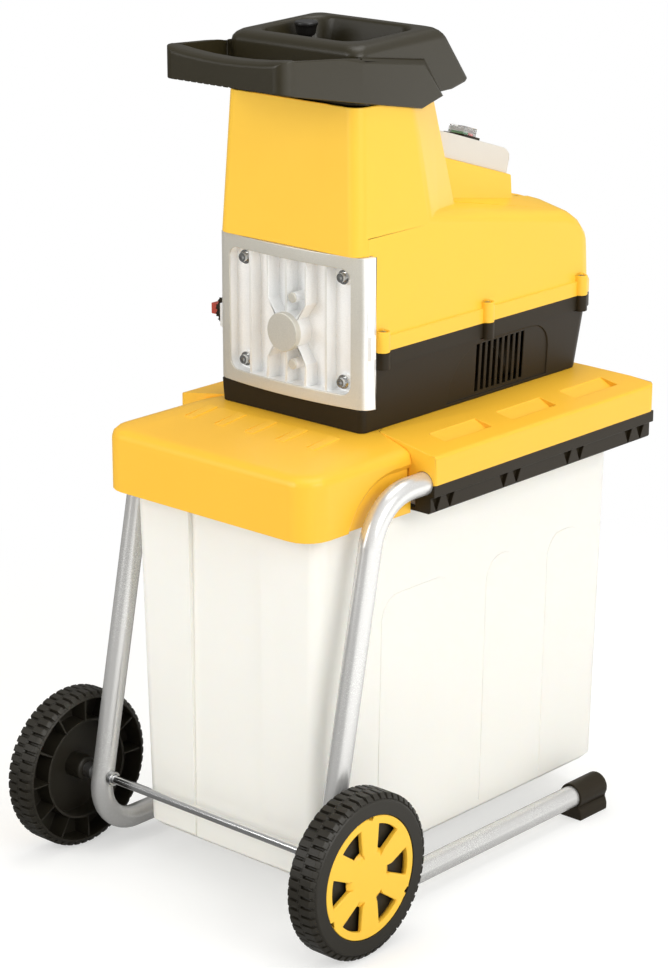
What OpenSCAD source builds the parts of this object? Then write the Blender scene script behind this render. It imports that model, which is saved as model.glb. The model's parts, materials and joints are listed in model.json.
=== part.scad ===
// Electric garden shredder on a wheeled tube frame.
// A slow cutting drum turns in a cast chamber between the end plate and the gearbox, and the motor lies
// behind the gearbox on the same axis. Cuttings drop through the deck into a pull-out collection box.
// +Z is up, -Y is the wheel end and +Y is the end where the box pulls out. Lengths are in millimetres.
// The origin is on the ground, below the middle of the machine.

/* [Wheels and axle] */
// Diameter over the tread
wheel_d = 180; // [160:1:200]
// Width of a wheel
wheel_w = 37.4; // [34:0.2:44]
// Height of the tread blocks
tread_h = 4; // [2:0.5:6]
// Tread blocks in each of the two rows
tread_blocks = 52; // [40:1:60]
// Diameter of the hub cap
hubcap_d = 134; // [124:1:140]
// Thickness of the hub cap's face
hubcap_t = 5.6; // [4:0.2:6]
// Spokes of a hub cap
spokes = 6; // [5:1:7]
// Diameter of the axle
axle_d = 10; // [8:0.5:12]
// Gap between a wheel and its frame tube
wheel_gap = 11; // [8:0.5:16]
// Distance of the axle in front of the origin
axle_ahead = 221; // [210:1:230]

/* [Frame tubes and feet] */
// Outer diameter of the frame tubes
tube_d = 25; // [22:0.5:28]
// Wall of the frame tubes
tube_wall = 1.5; // [1.2:0.1:2.5]
// Distance between the centres of the two tubes
tube_span = 336; // [330:1:340]
// Height of the upper tube ends, where deck and rail meet
stub_z = 466; // [460:1:474]
// Distance of the upper bend's corner in front of the origin
bend_ahead = 145; // [138:1:150]
// Centre-line radius of the upper bend
bend_r_top = 60; // [50:1:66]
// Centre-line radius of the lower bend
bend_r_low = 48; // [40:1:52]
// Height of the lower tube runs above the ground
run_z = 26.5; // [24:0.5:32]
// Length of the upper tube ends behind the origin
stub_behind = 150; // [130:1:170]
// Front of a foot behind the origin
foot_y = 195; // [185:1:205]
// Length of a foot
foot_l = 50; // [40:1:60]
// Width of a foot
foot_w = 31; // [30:0.5:36]
// Diameter of the frame bolts
frame_bolt_d = 6; // [5:0.5:8]

/* [Deck and rails] */
// Front face of the deck ahead of the origin
deck_ahead = 228; // [224:1:234]
// Rear edge of the deck behind the origin
deck_behind = 311; // [308:1:320]
// Half width of the deck's front part
deck_hw = 151.5; // [149:0.5:152]
// Half width over the flanges
flange_hw = 185; // [183:0.5:190]
// Where the flanges start, ahead of the origin
notch_ahead = 72; // [66:1:78]
// Height of the bottom of the front skirt
skirt_z = 431; // [426:1:434]
// Height of the flat top that carries the housing
crown_z = 510; // [508:0.5:514]
// Height of the flanges' outer edges
edge_z = 498; // [496:0.5:500]
// Thickness of the deck's top
deck_t = 4.5; // [3.5:0.5:6]
// Thickness of the deck's skirt and walls
skirt_t = 3.5; // [2.5:0.5:4]
// Plan radius of the deck's front corners
deck_r = 30; // [24:1:40]
// Pockets in each flange
pockets = 3; // [2:1:3]
// Pitch of the flange pockets
pocket_pitch = 111; // [100:1:114]
// Length of a flange pocket
pocket_l = 76; // [60:1:84]
// Height of the bottom of the rails
rail_z = 434; // [432:0.5:436]
// Outer half width of the rails
rail_hw = 183; // [181:0.5:186]
// Width of a rail
rail_w = 26; // [25:0.5:27]

/* [Collection box] */
// Height of the box's bottom above the ground
box_z = 36; // [32:1:44]
// Height of the box's rim
box_rim_z = 446; // [443:0.5:450]
// Half width at the bottom
box_hw_low = 127.5; // [118:0.5:131]
// Half width at the top
box_hw_top = 136; // [130:0.5:137]
// Front of the box at its rim, ahead of the origin
box_ahead = 197; // [190:1:202]
// Distance from the rear of the box to the deck's rear edge
box_set_in = 15; // [14:0.5:19]
// Draft of the box's ends from rim to bottom
box_draft = 4; // [2:0.5:10]
// Wall of the box
box_wall = 3; // [2.5:0.1:4]
// Corner radius of the box
box_r = 17; // [14:1:24]
// Travel of the box latch
latch_travel = 15; // [10:1:18]

/* [Housing] */
// Height of the seam between base and cover
seam_z = 595; // [592:0.5:598]
// Half width of the base at the deck
base_hw = 102; // [100:0.5:103]
// Half width of the housing at the seam
seam_hw = 106.5; // [105:0.5:108]
// Half width of the chimney at its top
chimney_hw = 92.5; // [91:0.5:93]
// Height of the chimney's top
chimney_z = 850; // [846:1:854]
// Front of the base ahead of the origin
base_ahead = 93; // [91:0.5:95]
// Rear of the base behind the origin, at the deck
base_behind = 276; // [272:1:278]
// Rear of the cover behind the origin
cover_behind = 293; // [290:1:296]
// Height of the cover's shoulder behind the chimney
shoulder_z = 730; // [726:1:734]
// Fall of the bulge's top over its length
shoulder_fall = 36; // [30:1:40]
// Wall of the housing
house_wall = 3.2; // [2.5:0.1:3.6]
// Height of the seam band on each side of the seam
band_h = 16; // [12:1:20]
// How far the seam band and the screw bosses stand out
band_out = 2; // [1.5:0.1:3]
// Vent slots on each side
vents = 9; // [5:1:9]
// Pitch of the vent slots
vent_pitch = 9.6; // [8:0.1:10]
// Width of a vent slot
vent_w = 5; // [3:0.5:6]
// Diameter of the housing screws
house_screw_d = 4.5; // [4:0.5:5]

/* [End plate] */
// Height of the end plate's lower edge
plate_z0 = 535; // [532:0.5:538]
// Height of the end plate's upper edge
plate_z1 = 697; // [694:0.5:700]
// Half width of the end plate
plate_hw = 106.5; // [105:0.5:107]
// Crown of the end plate's front
plate_crown = 10; // [6:0.5:12]
// Fins on the end plate
fins = 5; // [3:2:5]
// Pitch of the fins
fin_pitch = 27; // [24:0.5:28]
// Diameter of the bearing boss
boss_d = 42; // [40:0.5:46]
// Half distance between the plate bolts across the plate
plate_bolt_x = 70; // [69:0.5:72]
// Half distance between the plate bolts in height
plate_bolt_z = 56; // [54:0.5:60]
// Diameter of the plate bolts
plate_bolt_d = 6; // [5:0.5:6]

/* [Hopper] */
// Height of the hopper's rim, the top of the machine
rim_z = 917; // [910:1:924]
// Half width of the hopper's body
hopper_hw = 91.5; // [90:0.5:92]
// Front of the hopper's body ahead of the origin
hopper_ahead = 92; // [90:0.5:95]
// Rear of the rim behind the origin
rim_behind = 49; // [46:1:54]
// Lowest rear corner of the hopper behind the origin
hopper_behind = 90; // [86:1:96]
// Outer half width of the side bands
band_hw = 97; // [96.5:0.5:99]
// Front of the handle ahead of the origin
handle_ahead = 192; // [186:1:198]
// Depth of the handle bar
handle_d = 21; // [18:1:28]
// Half width of the feed chute
chute_hw = 57; // [50:0.5:57]
// Wall of the hopper and its chute
hopper_wall = 3.5; // [3:0.1:4]
// Diameter of the pusher's rod
pusher_rod_d = 12; // [10:0.5:14]

/* [Cutting gear and motor] */
// Height of the drum, gear and motor axis
drum_z = 605; // [604:0.5:606]
// Diameter of the cutting drum over its teeth
drum_d = 88; // [84:0.5:88]
// Teeth of the cutting drum
drum_teeth = 8; // [6:1:10]
// Gap between the drum and the counter plate
cut_gap = 0.8; // [0.6:0.1:1.2]
// Inner half width of the cutting chamber
chamber_hw = 60; // [59:0.5:61]
// Wall of the cutting chamber
chamber_wall = 10; // [9:0.5:11]
// Diameter of the adjusting screw
adjust_d = 12; // [10:0.5:14]
// Diameter of the adjusting knob's skirt
knob_d = 34; // [30:0.5:36]
// Gear module
gear_m = 1.25; // [1.2:0.01:1.26]
// Teeth of each pinion
pinion_teeth = 10; // [9:1:11]
// Teeth of each large gear
gear_teeth = 70; // [66:1:70]
// Outer diameter of the stator
stator_d = 116; // [112:0.5:118]
// Diameter of the rotor
rotor_d = 72; // [66:0.5:74]
// Air gap between rotor and stator
air_gap = 0.5; // [0.4:0.1:0.8]
// Diameter of the motor shaft
motor_shaft_d = 12; // [11:0.5:14]
// Diameter of the through bolts
through_bolt_d = 5; // [4:0.5:6]

/* [Switch box] */
// Half width of the switch box
switch_hw = 50; // [48:0.5:52]
// Slope of the switch panel in degrees
panel_tilt = 17.4; // [15:0.1:19]
// Thickness of the switch box across the panel
switch_t = 27; // [25:0.5:29]
// Side of the switch plates
switch_plate_w = 29; // [27:0.5:31]
// Height of the clear switch guard above its plate
guard_h = 9; // [8:0.5:10]
// Travel of the push buttons
button_travel = 2.5; // [1.5:0.1:3]

/* [Hidden] */
$fn = 48;

yellow = "#f9bf35";
deck_yellow = "#f5a92e";
black = "#3a352c";
steel = "#b9bcc0";

// Clearances: a shaft that turns in its bore, a seat between fixed pieces, and a hole round a bolt
run_fit = 0.05;
seat = 0.2;
bolt_fit = 0.15;

// Extrudes along Y or X, from one plane to another: the flat shape is drawn in XZ or in YZ
module along_y(y0, y1) translate([0, y1, 0]) rotate([90, 0, 0]) linear_extrude(y1 - y0) children();
module along_x(x0, x1) translate([x0, 0, 0]) rotate([90, 0, 90]) linear_extrude(x1 - x0) children();
module bar_x(y, z, x0, x1, d) translate([x0, y, z]) rotate([0, 90, 0]) cylinder(d = d, h = x1 - x0);
module bar_y(x, z, y0, y1, d) translate([x, y1, z]) rotate([90, 0, 0]) cylinder(d = d, h = y1 - y0);
module bar_z(x, y, z0, z1, d) translate([x, y, z0]) cylinder(d = d, h = z1 - z0);
module block(x0, x1, y0, y1, z0, z1) translate([x0, y0, z0]) cube([x1 - x0, y1 - y0, z1 - z0]);
module on_left() mirror([1, 0, 0]) children();
module both_sides() {
    children();
    on_left() children();
}
module ring_y(x, z, y0, y1, d_out, d_in) difference() {
    bar_y(x, z, y0, y1, d_out);
    bar_y(x, z, y0 - 1, y1 + 1, d_in);
}

function mix(a, b, t) = a + (b - a) * t;
function arc(c, r, a0, a1, n = 5) =
    [for (i = [0:n]) let (a = a0 + (a1 - a0) * i / n) [c.x + r * cos(a), c.y + r * sin(a)]];
function round_rect(x, y0, y1, rf, rr) = concat(
    arc([rf - x, y0 + rf], rf, 180, 270), arc([x - rf, y0 + rf], rf, 270, 360),
    arc([x - rr, y1 - rr], rr, 0, 90), arc([rr - x, y1 - rr], rr, 90, 180));
function at_z(pts, z) = [for (p = pts) [p.x, p.y, z]];
function mirrored(pts) = concat(pts, [for (i = [len(pts) - 1:-1:0]) [-pts[i].x, pts[i].y]]);

// A closed skin over rings of points, which run anticlockwise seen from the last ring's side
module loft(rings) {
    n = len(rings[0]);
    m = len(rings);
    polyhedron(
        points = [for (r = rings) each r],
        faces = concat(
            [[for (j = [0:n - 1]) j]],
            [[for (j = [n - 1:-1:0]) (m - 1) * n + j]],
            [for (i = [0:m - 2]) for (j = [0:n - 1])
                [i * n + j, (i + 1) * n + j, (i + 1) * n + (j + 1) % n, i * n + (j + 1) % n]]));
}

// Wheels: a moulded tyre and rim in one piece, with the hub cap clipped into its outer face
axle_y = -axle_ahead;
axle_z = wheel_d / 2;
tube_x = tube_span / 2;
wheel_x = tube_x + tube_d / 2 + wheel_gap;
carcass_r = wheel_d / 2 - tread_h;
cap_gap = 0.4;
web_t = 4;
cap_pocket = hubcap_t + 3.8;
web_front = wheel_w - cap_pocket;
web_back = web_front - web_t;
hub_r = axle_d / 2 + 9;
drum_wall_r = hubcap_d / 2 - 9;
wheel_lip = 4;
hub_set_in = 1;
window_r = hubcap_d / 2 - 9;
window_in = hub_r + 18;
ramp_in = hub_r + 10;
rib_hw = 2.4;
rib_r = wheel_d / 2 - 0.6;
shoulder_w = 3.4;

module wheel_place() translate([wheel_x, axle_y, axle_z]) rotate([0, 90, 0]) children();

// One window between two spokes, wide at the rim
module spoke_window(spread) {
    half = 180 / spokes - spread;
    polygon(concat(
        arc([0, 0], window_r, -half, half, 6),
        arc([0, 0], window_in, half * 0.55, -half * 0.55, 3)));
}

// Half of the tread, from the middle rib out over the shoulder
module tread_flat() polygon([for (i = [0:tread_blocks - 1]) for (s = [[carcass_r - 0.5, -0.38],
    [wheel_d / 2, -0.34], [wheel_d / 2, 0.34], [carcass_r - 0.5, 0.38]])
    let (a = (i + s[1]) * 360 / tread_blocks) [s[0] * cos(a), s[0] * sin(a)]]);
module half_tread() difference() {
    straight = wheel_w / 2 - shoulder_w - 1;
    union() {
        linear_extrude(straight) tread_flat();
        translate([0, 0, straight]) linear_extrude(shoulder_w, scale = 0.95) tread_flat();
    }
    translate([0, 0, -1]) cylinder(r = carcass_r - wheel_lip / 2, h = wheel_w);
}

module wheel_shape() color(black) wheel_place() {
    rotate_extrude() polygon([
        [axle_d / 2 + run_fit, hub_set_in], [hub_r - 2, hub_set_in], [hub_r, hub_set_in + 2],
        [hub_r, web_back], [drum_wall_r - 3, web_back], [drum_wall_r - 3, 3], [drum_wall_r, 3],
        [drum_wall_r, web_back], [carcass_r - wheel_lip, web_back], [carcass_r - wheel_lip, 0],
        [carcass_r - 2, 0], [carcass_r, 3], [carcass_r, wheel_w / 2 - rib_hw],
        [rib_r, wheel_w / 2 - rib_hw], [rib_r, wheel_w / 2 + rib_hw], [carcass_r, wheel_w / 2 + rib_hw],
        [carcass_r, wheel_w - 3.4],
        [carcass_r - wheel_lip, wheel_w], [hubcap_d / 2 + cap_gap, wheel_w],
        [hubcap_d / 2 + cap_gap, web_front], [axle_d / 2 + run_fit, web_front]]);
    translate([0, 0, wheel_w / 2]) {
        half_tread();
        rotate(180 / tread_blocks) mirror([0, 0, 1]) half_tread();
    }
    for (i = [0:11]) rotate(30 * i)
        translate([drum_wall_r - 1, -1, 2]) cube([carcass_r - wheel_lip - drum_wall_r + 2, 2, web_back]);
}

module hubcap_shape() color(yellow) wheel_place() {
    face_a = wheel_w - hubcap_t - cap_gap;
    difference() {
        union() {
            translate([0, 0, face_a]) linear_extrude(hubcap_t) difference() {
                circle(d = hubcap_d);
                for (i = [0:spokes - 1]) rotate((i + 0.5) * 360 / spokes) spoke_window(14);
                for (i = [0:2]) rotate(120 * i + 60) translate([hubcap_d / 2, 0]) square(6, center = true);
            }
            translate([0, 0, web_front + seat]) linear_extrude(face_a - web_front) difference() {
                circle(d = hubcap_d - 8);
                circle(d = hubcap_d - 14);
            }
        }
        for (i = [0:spokes - 1]) rotate((i + 0.5) * 360 / spokes) rotate([90, 0, 0])
            linear_extrude(10, center = true) polygon([[ramp_in, face_a + hubcap_t + 0.01],
                [window_in + 1, face_a - 0.01], [window_in + 2, face_a - 0.01],
                [window_in + 2, face_a + hubcap_t + 0.01]]);
    }
}

module wheel_left() on_left() wheel_shape();
module wheel_right() wheel_shape();
module hubcap_left() on_left() hubcap_shape();
module hubcap_right() hubcap_shape();

retainer_t = 3;
axle_end = wheel_x + web_front + 0.3 + retainer_t;
module wheel_axle() color("silver") bar_x(axle_y, axle_z, -axle_end, axle_end, axle_d);

module axle_ring(x0, x1, d) difference() {
    bar_x(axle_y, axle_z, x0, x1, d);
    bar_x(axle_y, axle_z, x0 - 1, x1 + 1, axle_d + 2 * seat);
}
module axle_collars() color(steel) both_sides() {
    axle_ring(tube_x + tube_d / 2 + seat, wheel_x + hub_set_in - 0.3, axle_d + 8);
    axle_ring(tube_x - tube_d / 2 - seat - 6, tube_x - tube_d / 2 - seat, axle_d + 6);
}
module axle_retainers() color(steel) both_sides()
    axle_ring(wheel_x + web_front + 0.3, axle_end, axle_d + 8);

// Frame tubes: an upper end clamped between deck and rail, a leaning leg and a run along the ground
corner_y = -bend_ahead;
lean = atan2(corner_y - axle_y, stub_z - axle_z);
low_y = axle_y - (axle_z - run_z) * tan(lean);
top_cut = bend_r_top * tan((90 - lean) / 2);
low_cut = bend_r_low * tan((90 + lean) / 2);
leg_l = (stub_z - run_z) / cos(lean);
foot_end = foot_y + foot_l;
foot_wall = 8;

module tube_bend(y, z, r, a0, a1, d)
    translate([tube_x, y, z]) rotate([90, 0, 90]) rotate(a0)
        rotate_extrude(angle = a1 - a0) translate([r, 0]) circle(d = d);

// The bends are a touch fuller than the straight runs, whose ends stand 1 mm inside them
bend_swell = 0.1;
run_in = 1;
module tube_line(d, over) {
    run_d = d - bend_swell;
    bar_y(tube_x, stub_z, corner_y + top_cut - run_in, stub_behind + over, run_d);
    tube_bend(corner_y + top_cut, stub_z - bend_r_top, bend_r_top, 90, 180 - lean, d);
    translate([tube_x, low_y, run_z]) rotate([-lean, 0, 0]) translate([0, 0, low_cut - run_in])
        cylinder(d = run_d, h = leg_l - low_cut - top_cut + 2 * run_in);
    tube_bend(low_y + low_cut, run_z + bend_r_low, bend_r_low, 180 - lean, 270, d);
    bar_y(tube_x, run_z, low_y + low_cut - run_in, foot_end - foot_wall - 1 + over, run_d);
}

frame_bolt_y = [-40, 120];
module frame_bolt_holes(z0, z1) for (y = frame_bolt_y)
    bar_z(tube_x, y, z0, z1, frame_bolt_d + 2 * bolt_fit);

module frame_tube() color(steel) difference() {
    tube_line(tube_d, 0);
    tube_line(tube_d - 2 * tube_wall, 1);
    bar_x(axle_y, axle_z, tube_x - tube_d, tube_x + tube_d, axle_d + 2 * seat);
    frame_bolt_holes(stub_z - tube_d, stub_z + tube_d);
}
module frame_tube_left() on_left() frame_tube();
module frame_tube_right() frame_tube();

// Feet: caps with a round top over the tube end and a block that stands on the ground
module foot() color(black) difference() {
    top_r = foot_w / 2;
    along_y(foot_y, foot_end) translate([tube_x, 0]) polygon(concat(
        [[-top_r, 0], [top_r, 0], [top_r, run_z * 0.3], [top_r - 1.5, run_z * 0.48]],
        arc([0, run_z], top_r, -44, 224, 16),
        [[1.5 - top_r, run_z * 0.48], [-top_r, run_z * 0.3]]));
    bar_y(tube_x, run_z, foot_y - 1, foot_end - foot_wall, tube_d + 2 * seat);
}
module foot_left() on_left() foot();
module foot_right() foot();

// Deck: a crowned moulding with a deep front skirt and a hollow flange along each side
deck_y0 = -deck_ahead;
deck_y1 = deck_behind;
notch_y = -notch_ahead;
flange_z = stub_z;
flat_hw = seam_hw + 1;
pocket_y = notch_y + 43;
flange_in = tube_x - tube_d / 2 - 14.5;
pocket_x = flange_in - 2;
pocket_w = 25;
pocket_depth = 8.5;
function deck_top(x) = crown_z - (x - flat_hw) * (crown_z - edge_z) / (flange_hw - flat_hw);
drop_hw = chamber_hw - 2;
drop_y0 = -70;
drop_y1 = 20;
base_bolt_x = chamber_hw + chamber_wall / 2;
base_bolt_y = [-55, 8];
base_bolt_d = 6;

// Section across the deck, lowered by drop for the hollow underneath
function deck_section(hw, z0, edge, round, drop) = mirrored(concat(
    [[hw, z0], [hw, edge - round - drop]],
    arc([hw - round, edge - round - drop], round, 20, 80, 3),
    [[flat_hw, crown_z - drop]]));
function deck_side(drop) = [
    [notch_y - 1, skirt_z], [notch_y - 1, crown_z - drop], [base_behind + 8, crown_z - drop],
    [deck_y1 - 6, edge_z + 4 - drop], [deck_y1, edge_z - drop], [deck_y1, skirt_z]];

// The front part tapers in over its top edge, then rises to the flat that carries the housing
function deck_ring(z, inset, set_in) = at_z(round_rect(deck_hw - inset - set_in, deck_y0 + inset + set_in,
    notch_y + (inset > 0 ? 1 : 0), deck_r - inset - set_in / 2, 1), z);
module deck_front(inset, drop) loft([
    deck_ring(skirt_z - inset, inset, 0), deck_ring(edge_z - 10 - drop, inset, 0),
    deck_ring(edge_z - 4 - drop, inset, 1.5), deck_ring(edge_z - drop, inset, 5.5),
    deck_ring(edge_z + 2.2 - drop, inset, 12),
    at_z(round_rect(flat_hw, -base_ahead - 24, notch_y + (inset > 0 ? 1 : 0), deck_r - 12, 1), crown_z - drop)]);
module deck_flange(drop) intersection() {
    translate([0, 0, flange_z]) linear_extrude(crown_z)
        polygon(round_rect(flange_hw, notch_y - (drop > 0 ? 0 : 0.01), deck_y1, 3, 10));
    along_y(notch_y - 1, deck_y1) polygon(deck_section(flange_hw, flange_z - 1, edge_z, 4, drop));
    along_x(-flange_hw, flange_hw) polygon(deck_side(drop));
}

module deck_rib(x) translate([x, 0, 0]) along_x(-6, 6) polygon([
    [-base_ahead - 64, edge_z + 4], [-base_ahead - 64, crown_z - 3.4],
    [-base_ahead - 27, crown_z + 1.6], [-base_ahead - 27, edge_z + 4]]);

// A shallow recess in the skirt follows the tube's bend, and a pad behind it keeps the wall whole
recess_d = tube_d + 23;
recess_t = 4.5;
module tube_recess(d, x0, x1) intersection() {
    tube_line(d, 0);
    block(x0, x1, deck_y0, notch_y, skirt_z - 20, edge_z - 6);
}

cell_n = 4;
cell_l = (deck_y1 - notch_y - skirt_t) / cell_n;
cell_top = edge_z - 14;

module flange_cells() for (i = [0:cell_n - 1]) difference() {
    block(flange_in + skirt_t, flange_hw - skirt_t, notch_y + skirt_t + i * cell_l,
        notch_y + (i + 1) * cell_l, flange_z - 1, cell_top);
    for (y = frame_bolt_y) bar_z(tube_x, y, flange_z - 2, cell_top + 1, frame_bolt_d + 9);
}
module pocket_cuts() for (i = [0:pockets - 1])
    along_y(pocket_y + i * pocket_pitch, pocket_y + i * pocket_pitch + pocket_l) polygon([
        [pocket_x, crown_z + 5], [pocket_x, deck_top(pocket_x) - 1.5],
        [pocket_x + pocket_w - 3, deck_top(pocket_x + pocket_w) - pocket_depth],
        [pocket_x + pocket_w, crown_z + 5]]);

module tube_groove() bar_y(tube_x, stub_z, notch_y - 1, stub_behind + 1, tube_d + 2 * seat);
module base_bolt_holes(z0, z1, d) both_sides() for (y = base_bolt_y) bar_z(base_bolt_x, y, z0, z1, d);

module deck() color(deck_yellow) difference() {
    union() {
        difference() {
            union() {
                deck_front(0, 0);
                deck_flange(0);
            }
            deck_front(skirt_t, deck_t);
            intersection() {
                deck_flange(deck_t);
                block(-flange_in, flange_in, notch_y - 2, deck_y1 - skirt_t, flange_z - 1, crown_z);
            }
            block(-flange_in, flange_in, notch_y - 5, deck_y1 - skirt_t, skirt_z - 1, edge_z - 8);
        }
        for (i = [-2:2]) deck_rib(i * 44);
        both_sides() intersection() {
            tube_recess(recess_d + 8, deck_hw - recess_t - skirt_t, deck_hw - 0.5);
            deck_front(0, 0);
        }
    }
    both_sides() {
        tube_recess(recess_d, deck_hw - recess_t, deck_hw + 20);
        flange_cells();
        pocket_cuts();
        tube_groove();
        frame_bolt_holes(flange_z - 1, edge_z - 8);
    }
    block(-drop_hw, drop_hw, drop_y0, drop_y1, crown_z - 20, crown_z + 5);
    base_bolt_holes(crown_z - 20, crown_z + 5, base_bolt_d + 2 * bolt_fit);
}

// Rails: black channels under the flanges, with an inner ledge that carries the box
rail_in = rail_hw - rail_w;
ledge_in = flange_in;
ledge_t = 4;
rail_step = 5;
bolt_head_h = 4;

module rail() color(black) difference() {
    along_y(notch_y, deck_y1) polygon([
        [ledge_in, rail_z], [rail_hw - rail_step - 2, rail_z], [rail_hw - rail_step, rail_z + 2],
        [rail_hw - rail_step, stub_z - 15], [rail_hw, stub_z - 13], [rail_hw, stub_z],
        [rail_in, stub_z], [rail_in, rail_z + ledge_t], [ledge_in, rail_z + ledge_t]]);
    tube_groove();
    for (i = [0:3]) for (j = [0, 22])
        along_x(rail_hw - rail_step - 5, rail_hw) translate([notch_y + 10 + i * pocket_pitch + j, 0])
            polygon([[-7, stub_z - 15], [0, rail_z + 1], [7, stub_z - 15]]);
    frame_bolt_holes(rail_z - 1, stub_z);
    for (y = frame_bolt_y) bar_z(tube_x, y, rail_z - 1, rail_z + bolt_head_h, 2 * frame_bolt_d);
}
module rail_left() on_left() rail();
module rail_right() rail();

module frame_bolts() color(steel) both_sides() for (y = frame_bolt_y) {
    bar_z(tube_x, y, rail_z + 0.5, rail_z + bolt_head_h - 0.01, 2 * frame_bolt_d - 1);
    bar_z(tube_x, y, rail_z + 1, edge_z - 9, frame_bolt_d);
}

// Collection box: a drafted moulding whose side lips run on the rail ledges
box_lip_z = rail_z + ledge_t + 0.3;
box_lip_t = 3.2;
lip_hw = rail_in - 2;
front_lip_hw = box_hw_top + 2;
box_y0 = -box_ahead;
box_y1 = deck_y1 - box_set_in;
latch_y = box_y1 + 1;
latch_t = 4;
latch_hw = 20;
tongue_hw = 14;
tongue_top = stub_z - 11;
grip_hw = 80;
grip_y = deck_y1 - 2;

function box_ring(z, inset) =
    let (t = (z - box_z) / (box_rim_z - box_z))
    at_z(round_rect(mix(box_hw_low, box_hw_top, t) - inset, box_y0 + box_draft * (1 - t) + inset,
        box_y1 - box_draft * (1 - t) - inset, box_r - inset / 2, box_r - inset / 2), z);

// Raised panels on the sides, with rounded tops, lie in the plane of the drafted wall
panel_out = 1;
panel_top = 338;
side_panels = [[-97, 19], [77, 133], [185, 248]];
wall_tilt = atan((box_hw_top - box_hw_low) / (box_rim_z - box_z));
module side_panel(y0, y1) translate([box_hw_low, 0, box_z]) rotate([0, wall_tilt, 0]) {
    r = min(26, (y1 - y0) / 2 - 1);
    along_x(-1, panel_out) polygon(concat(
        [[y0, 14], [y1, 14]], arc([y1 - r, panel_top - box_z - r], r, 0, 90),
        arc([y0 + r, panel_top - box_z - r], r, 90, 180)));
}
front_panel_hw = 52;
module front_recess(y) block(-front_panel_hw, front_panel_hw, y - 20, y, box_z - 1, box_lip_z - 8);

module collection_box() color("#f6f2e8") difference() {
    union() {
        difference() {
            loft([box_ring(box_z, 7), box_ring(box_z + 7, 0), box_ring(box_rim_z, 0)]);
            front_recess(box_y0 + box_draft + 2);
        }
        both_sides() for (p = side_panels) side_panel(p[0], p[1]);
        translate([0, 0, box_lip_z]) linear_extrude(box_lip_t)
            polygon(round_rect(front_lip_hw, box_y0 - 6, box_y1 + 5, box_r, box_r));
        block(-lip_hw, lip_hw, notch_y + 6, box_y1 - 7, box_lip_z, box_lip_z + box_lip_t);
        block(-grip_hw, grip_hw, box_y1 - 5, grip_y, box_lip_z, box_lip_z + box_lip_t);
        block(-grip_hw, grip_hw, grip_y - box_lip_t, grip_y, box_lip_z - 22, box_lip_z + 1);
        both_sides() {
            block(latch_hw + seat, latch_hw + 6, box_y1 - 5, latch_y + latch_t + 2.2,
                box_lip_z - 58, box_lip_z - 8);
            block(latch_hw - 4, latch_hw + 6, latch_y + latch_t + seat, latch_y + latch_t + 2.2,
                box_lip_z - 58, box_lip_z - 8);
        }
    }
    difference() {
        loft([box_ring(box_z + box_wall, 7 + box_wall), box_ring(box_z + box_wall + 7, box_wall),
            box_ring(box_rim_z + 1, box_wall)]);
        block(-front_panel_hw - box_wall, front_panel_hw + box_wall, box_y0, box_y0 + box_draft + 2 + box_wall,
            box_z - 1, box_lip_z - 8 + box_wall);
    }
    block(-tongue_hw - seat, tongue_hw + seat, latch_y - seat, latch_y + latch_t + seat,
        box_lip_z - 1, box_lip_z + box_lip_t + 5);
}

// Latch: a slider on the box's rear wall whose tongue lifts the interlock's plunger
module box_latch() color("#b23a2a") {
    block(-latch_hw, latch_hw, latch_y, latch_y + latch_t, box_lip_z - 56, box_lip_z - latch_travel + 8);
    block(-tongue_hw, tongue_hw, latch_y, latch_y + latch_t, box_lip_z - 20, tongue_top);
    block(-9, 9, latch_y + 1, latch_y + latch_t + 5, box_lip_z - 48, box_lip_z - 34);
}
module interlock_switch() color(black) {
    block(-9, 9, latch_y - 4, deck_y1 - skirt_t - 0.1, stub_z + 3, stub_z + 26);
    bar_z(0, latch_y + latch_t / 2, tongue_top + 0.3, stub_z + 4, 6);
}

// Housing base: the black lower half, with a floor on the deck and vent slots in its sides
floor_t = 4;
base_z = crown_z;
floor_z = base_z + floor_t;
plate_y1 = -76;
seam_y0 = -base_ahead - 4;
seam_y1 = base_behind + 15;
boss_r = 7.5;
boss_y = [plate_y1 + 8, 103, base_behind - 8];
boss_x = seam_hw + band_out;
boss_low = 18;
boss_high = 23;
front_r = 8;
back_r = 15;
vent_y = 92;
knob_y = -57;
knob_hole_d = adjust_d + 6;

function base_ring(z, inset) =
    let (t = (z - base_z) / (seam_z - base_z))
    at_z(round_rect(mix(base_hw, seam_hw, t) - inset, mix(-base_ahead, seam_y0, t) + inset,
        mix(base_behind, seam_y1, t) - inset, front_r - inset, back_r - inset), z);

module seam_band(z0, z1) translate([0, 0, z0]) linear_extrude(z1 - z0) polygon(round_rect(
    seam_hw + band_out, seam_y0 - band_out, seam_y1 + band_out, front_r, back_r));
module seam_bosses(z0, z1, d) both_sides() for (y = boss_y) bar_z(boss_x, y, z0, z1, d);
module plate_room(z0, z1) block(-140, 140, -140, plate_y1 + seat, z0, z1);

// A shallow arched panel round the vent slots, cut in the plane of the leaning side
base_tilt = atan((seam_hw - base_hw) / (seam_z - base_z));
vent_l = (vents - 1) * vent_pitch + vent_w;
vent_arch = 60;
vent_rear_r = 28;
module vent_panel() translate([base_hw, vent_y, base_z]) rotate([0, base_tilt, 0]) along_x(-1.6, 5)
    polygon(concat([[vent_l + 42, 4]], arc([vent_l + 14, vent_arch + 4 - vent_rear_r], vent_rear_r, 0, 90),
        arc([12, 4], vent_arch, 90, 180, 8)));

// A saddle on the floor carries the rear of the motor
module motor_saddle() difference() {
    block(-34, 34, shield_y - 8, shield_y + 4, base_z, drum_z - motor_r + 12);
    bar_y(0, drum_z, shield_y - 20, shield_y + 20, 2 * motor_r + 2 * seat);
}

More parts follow.
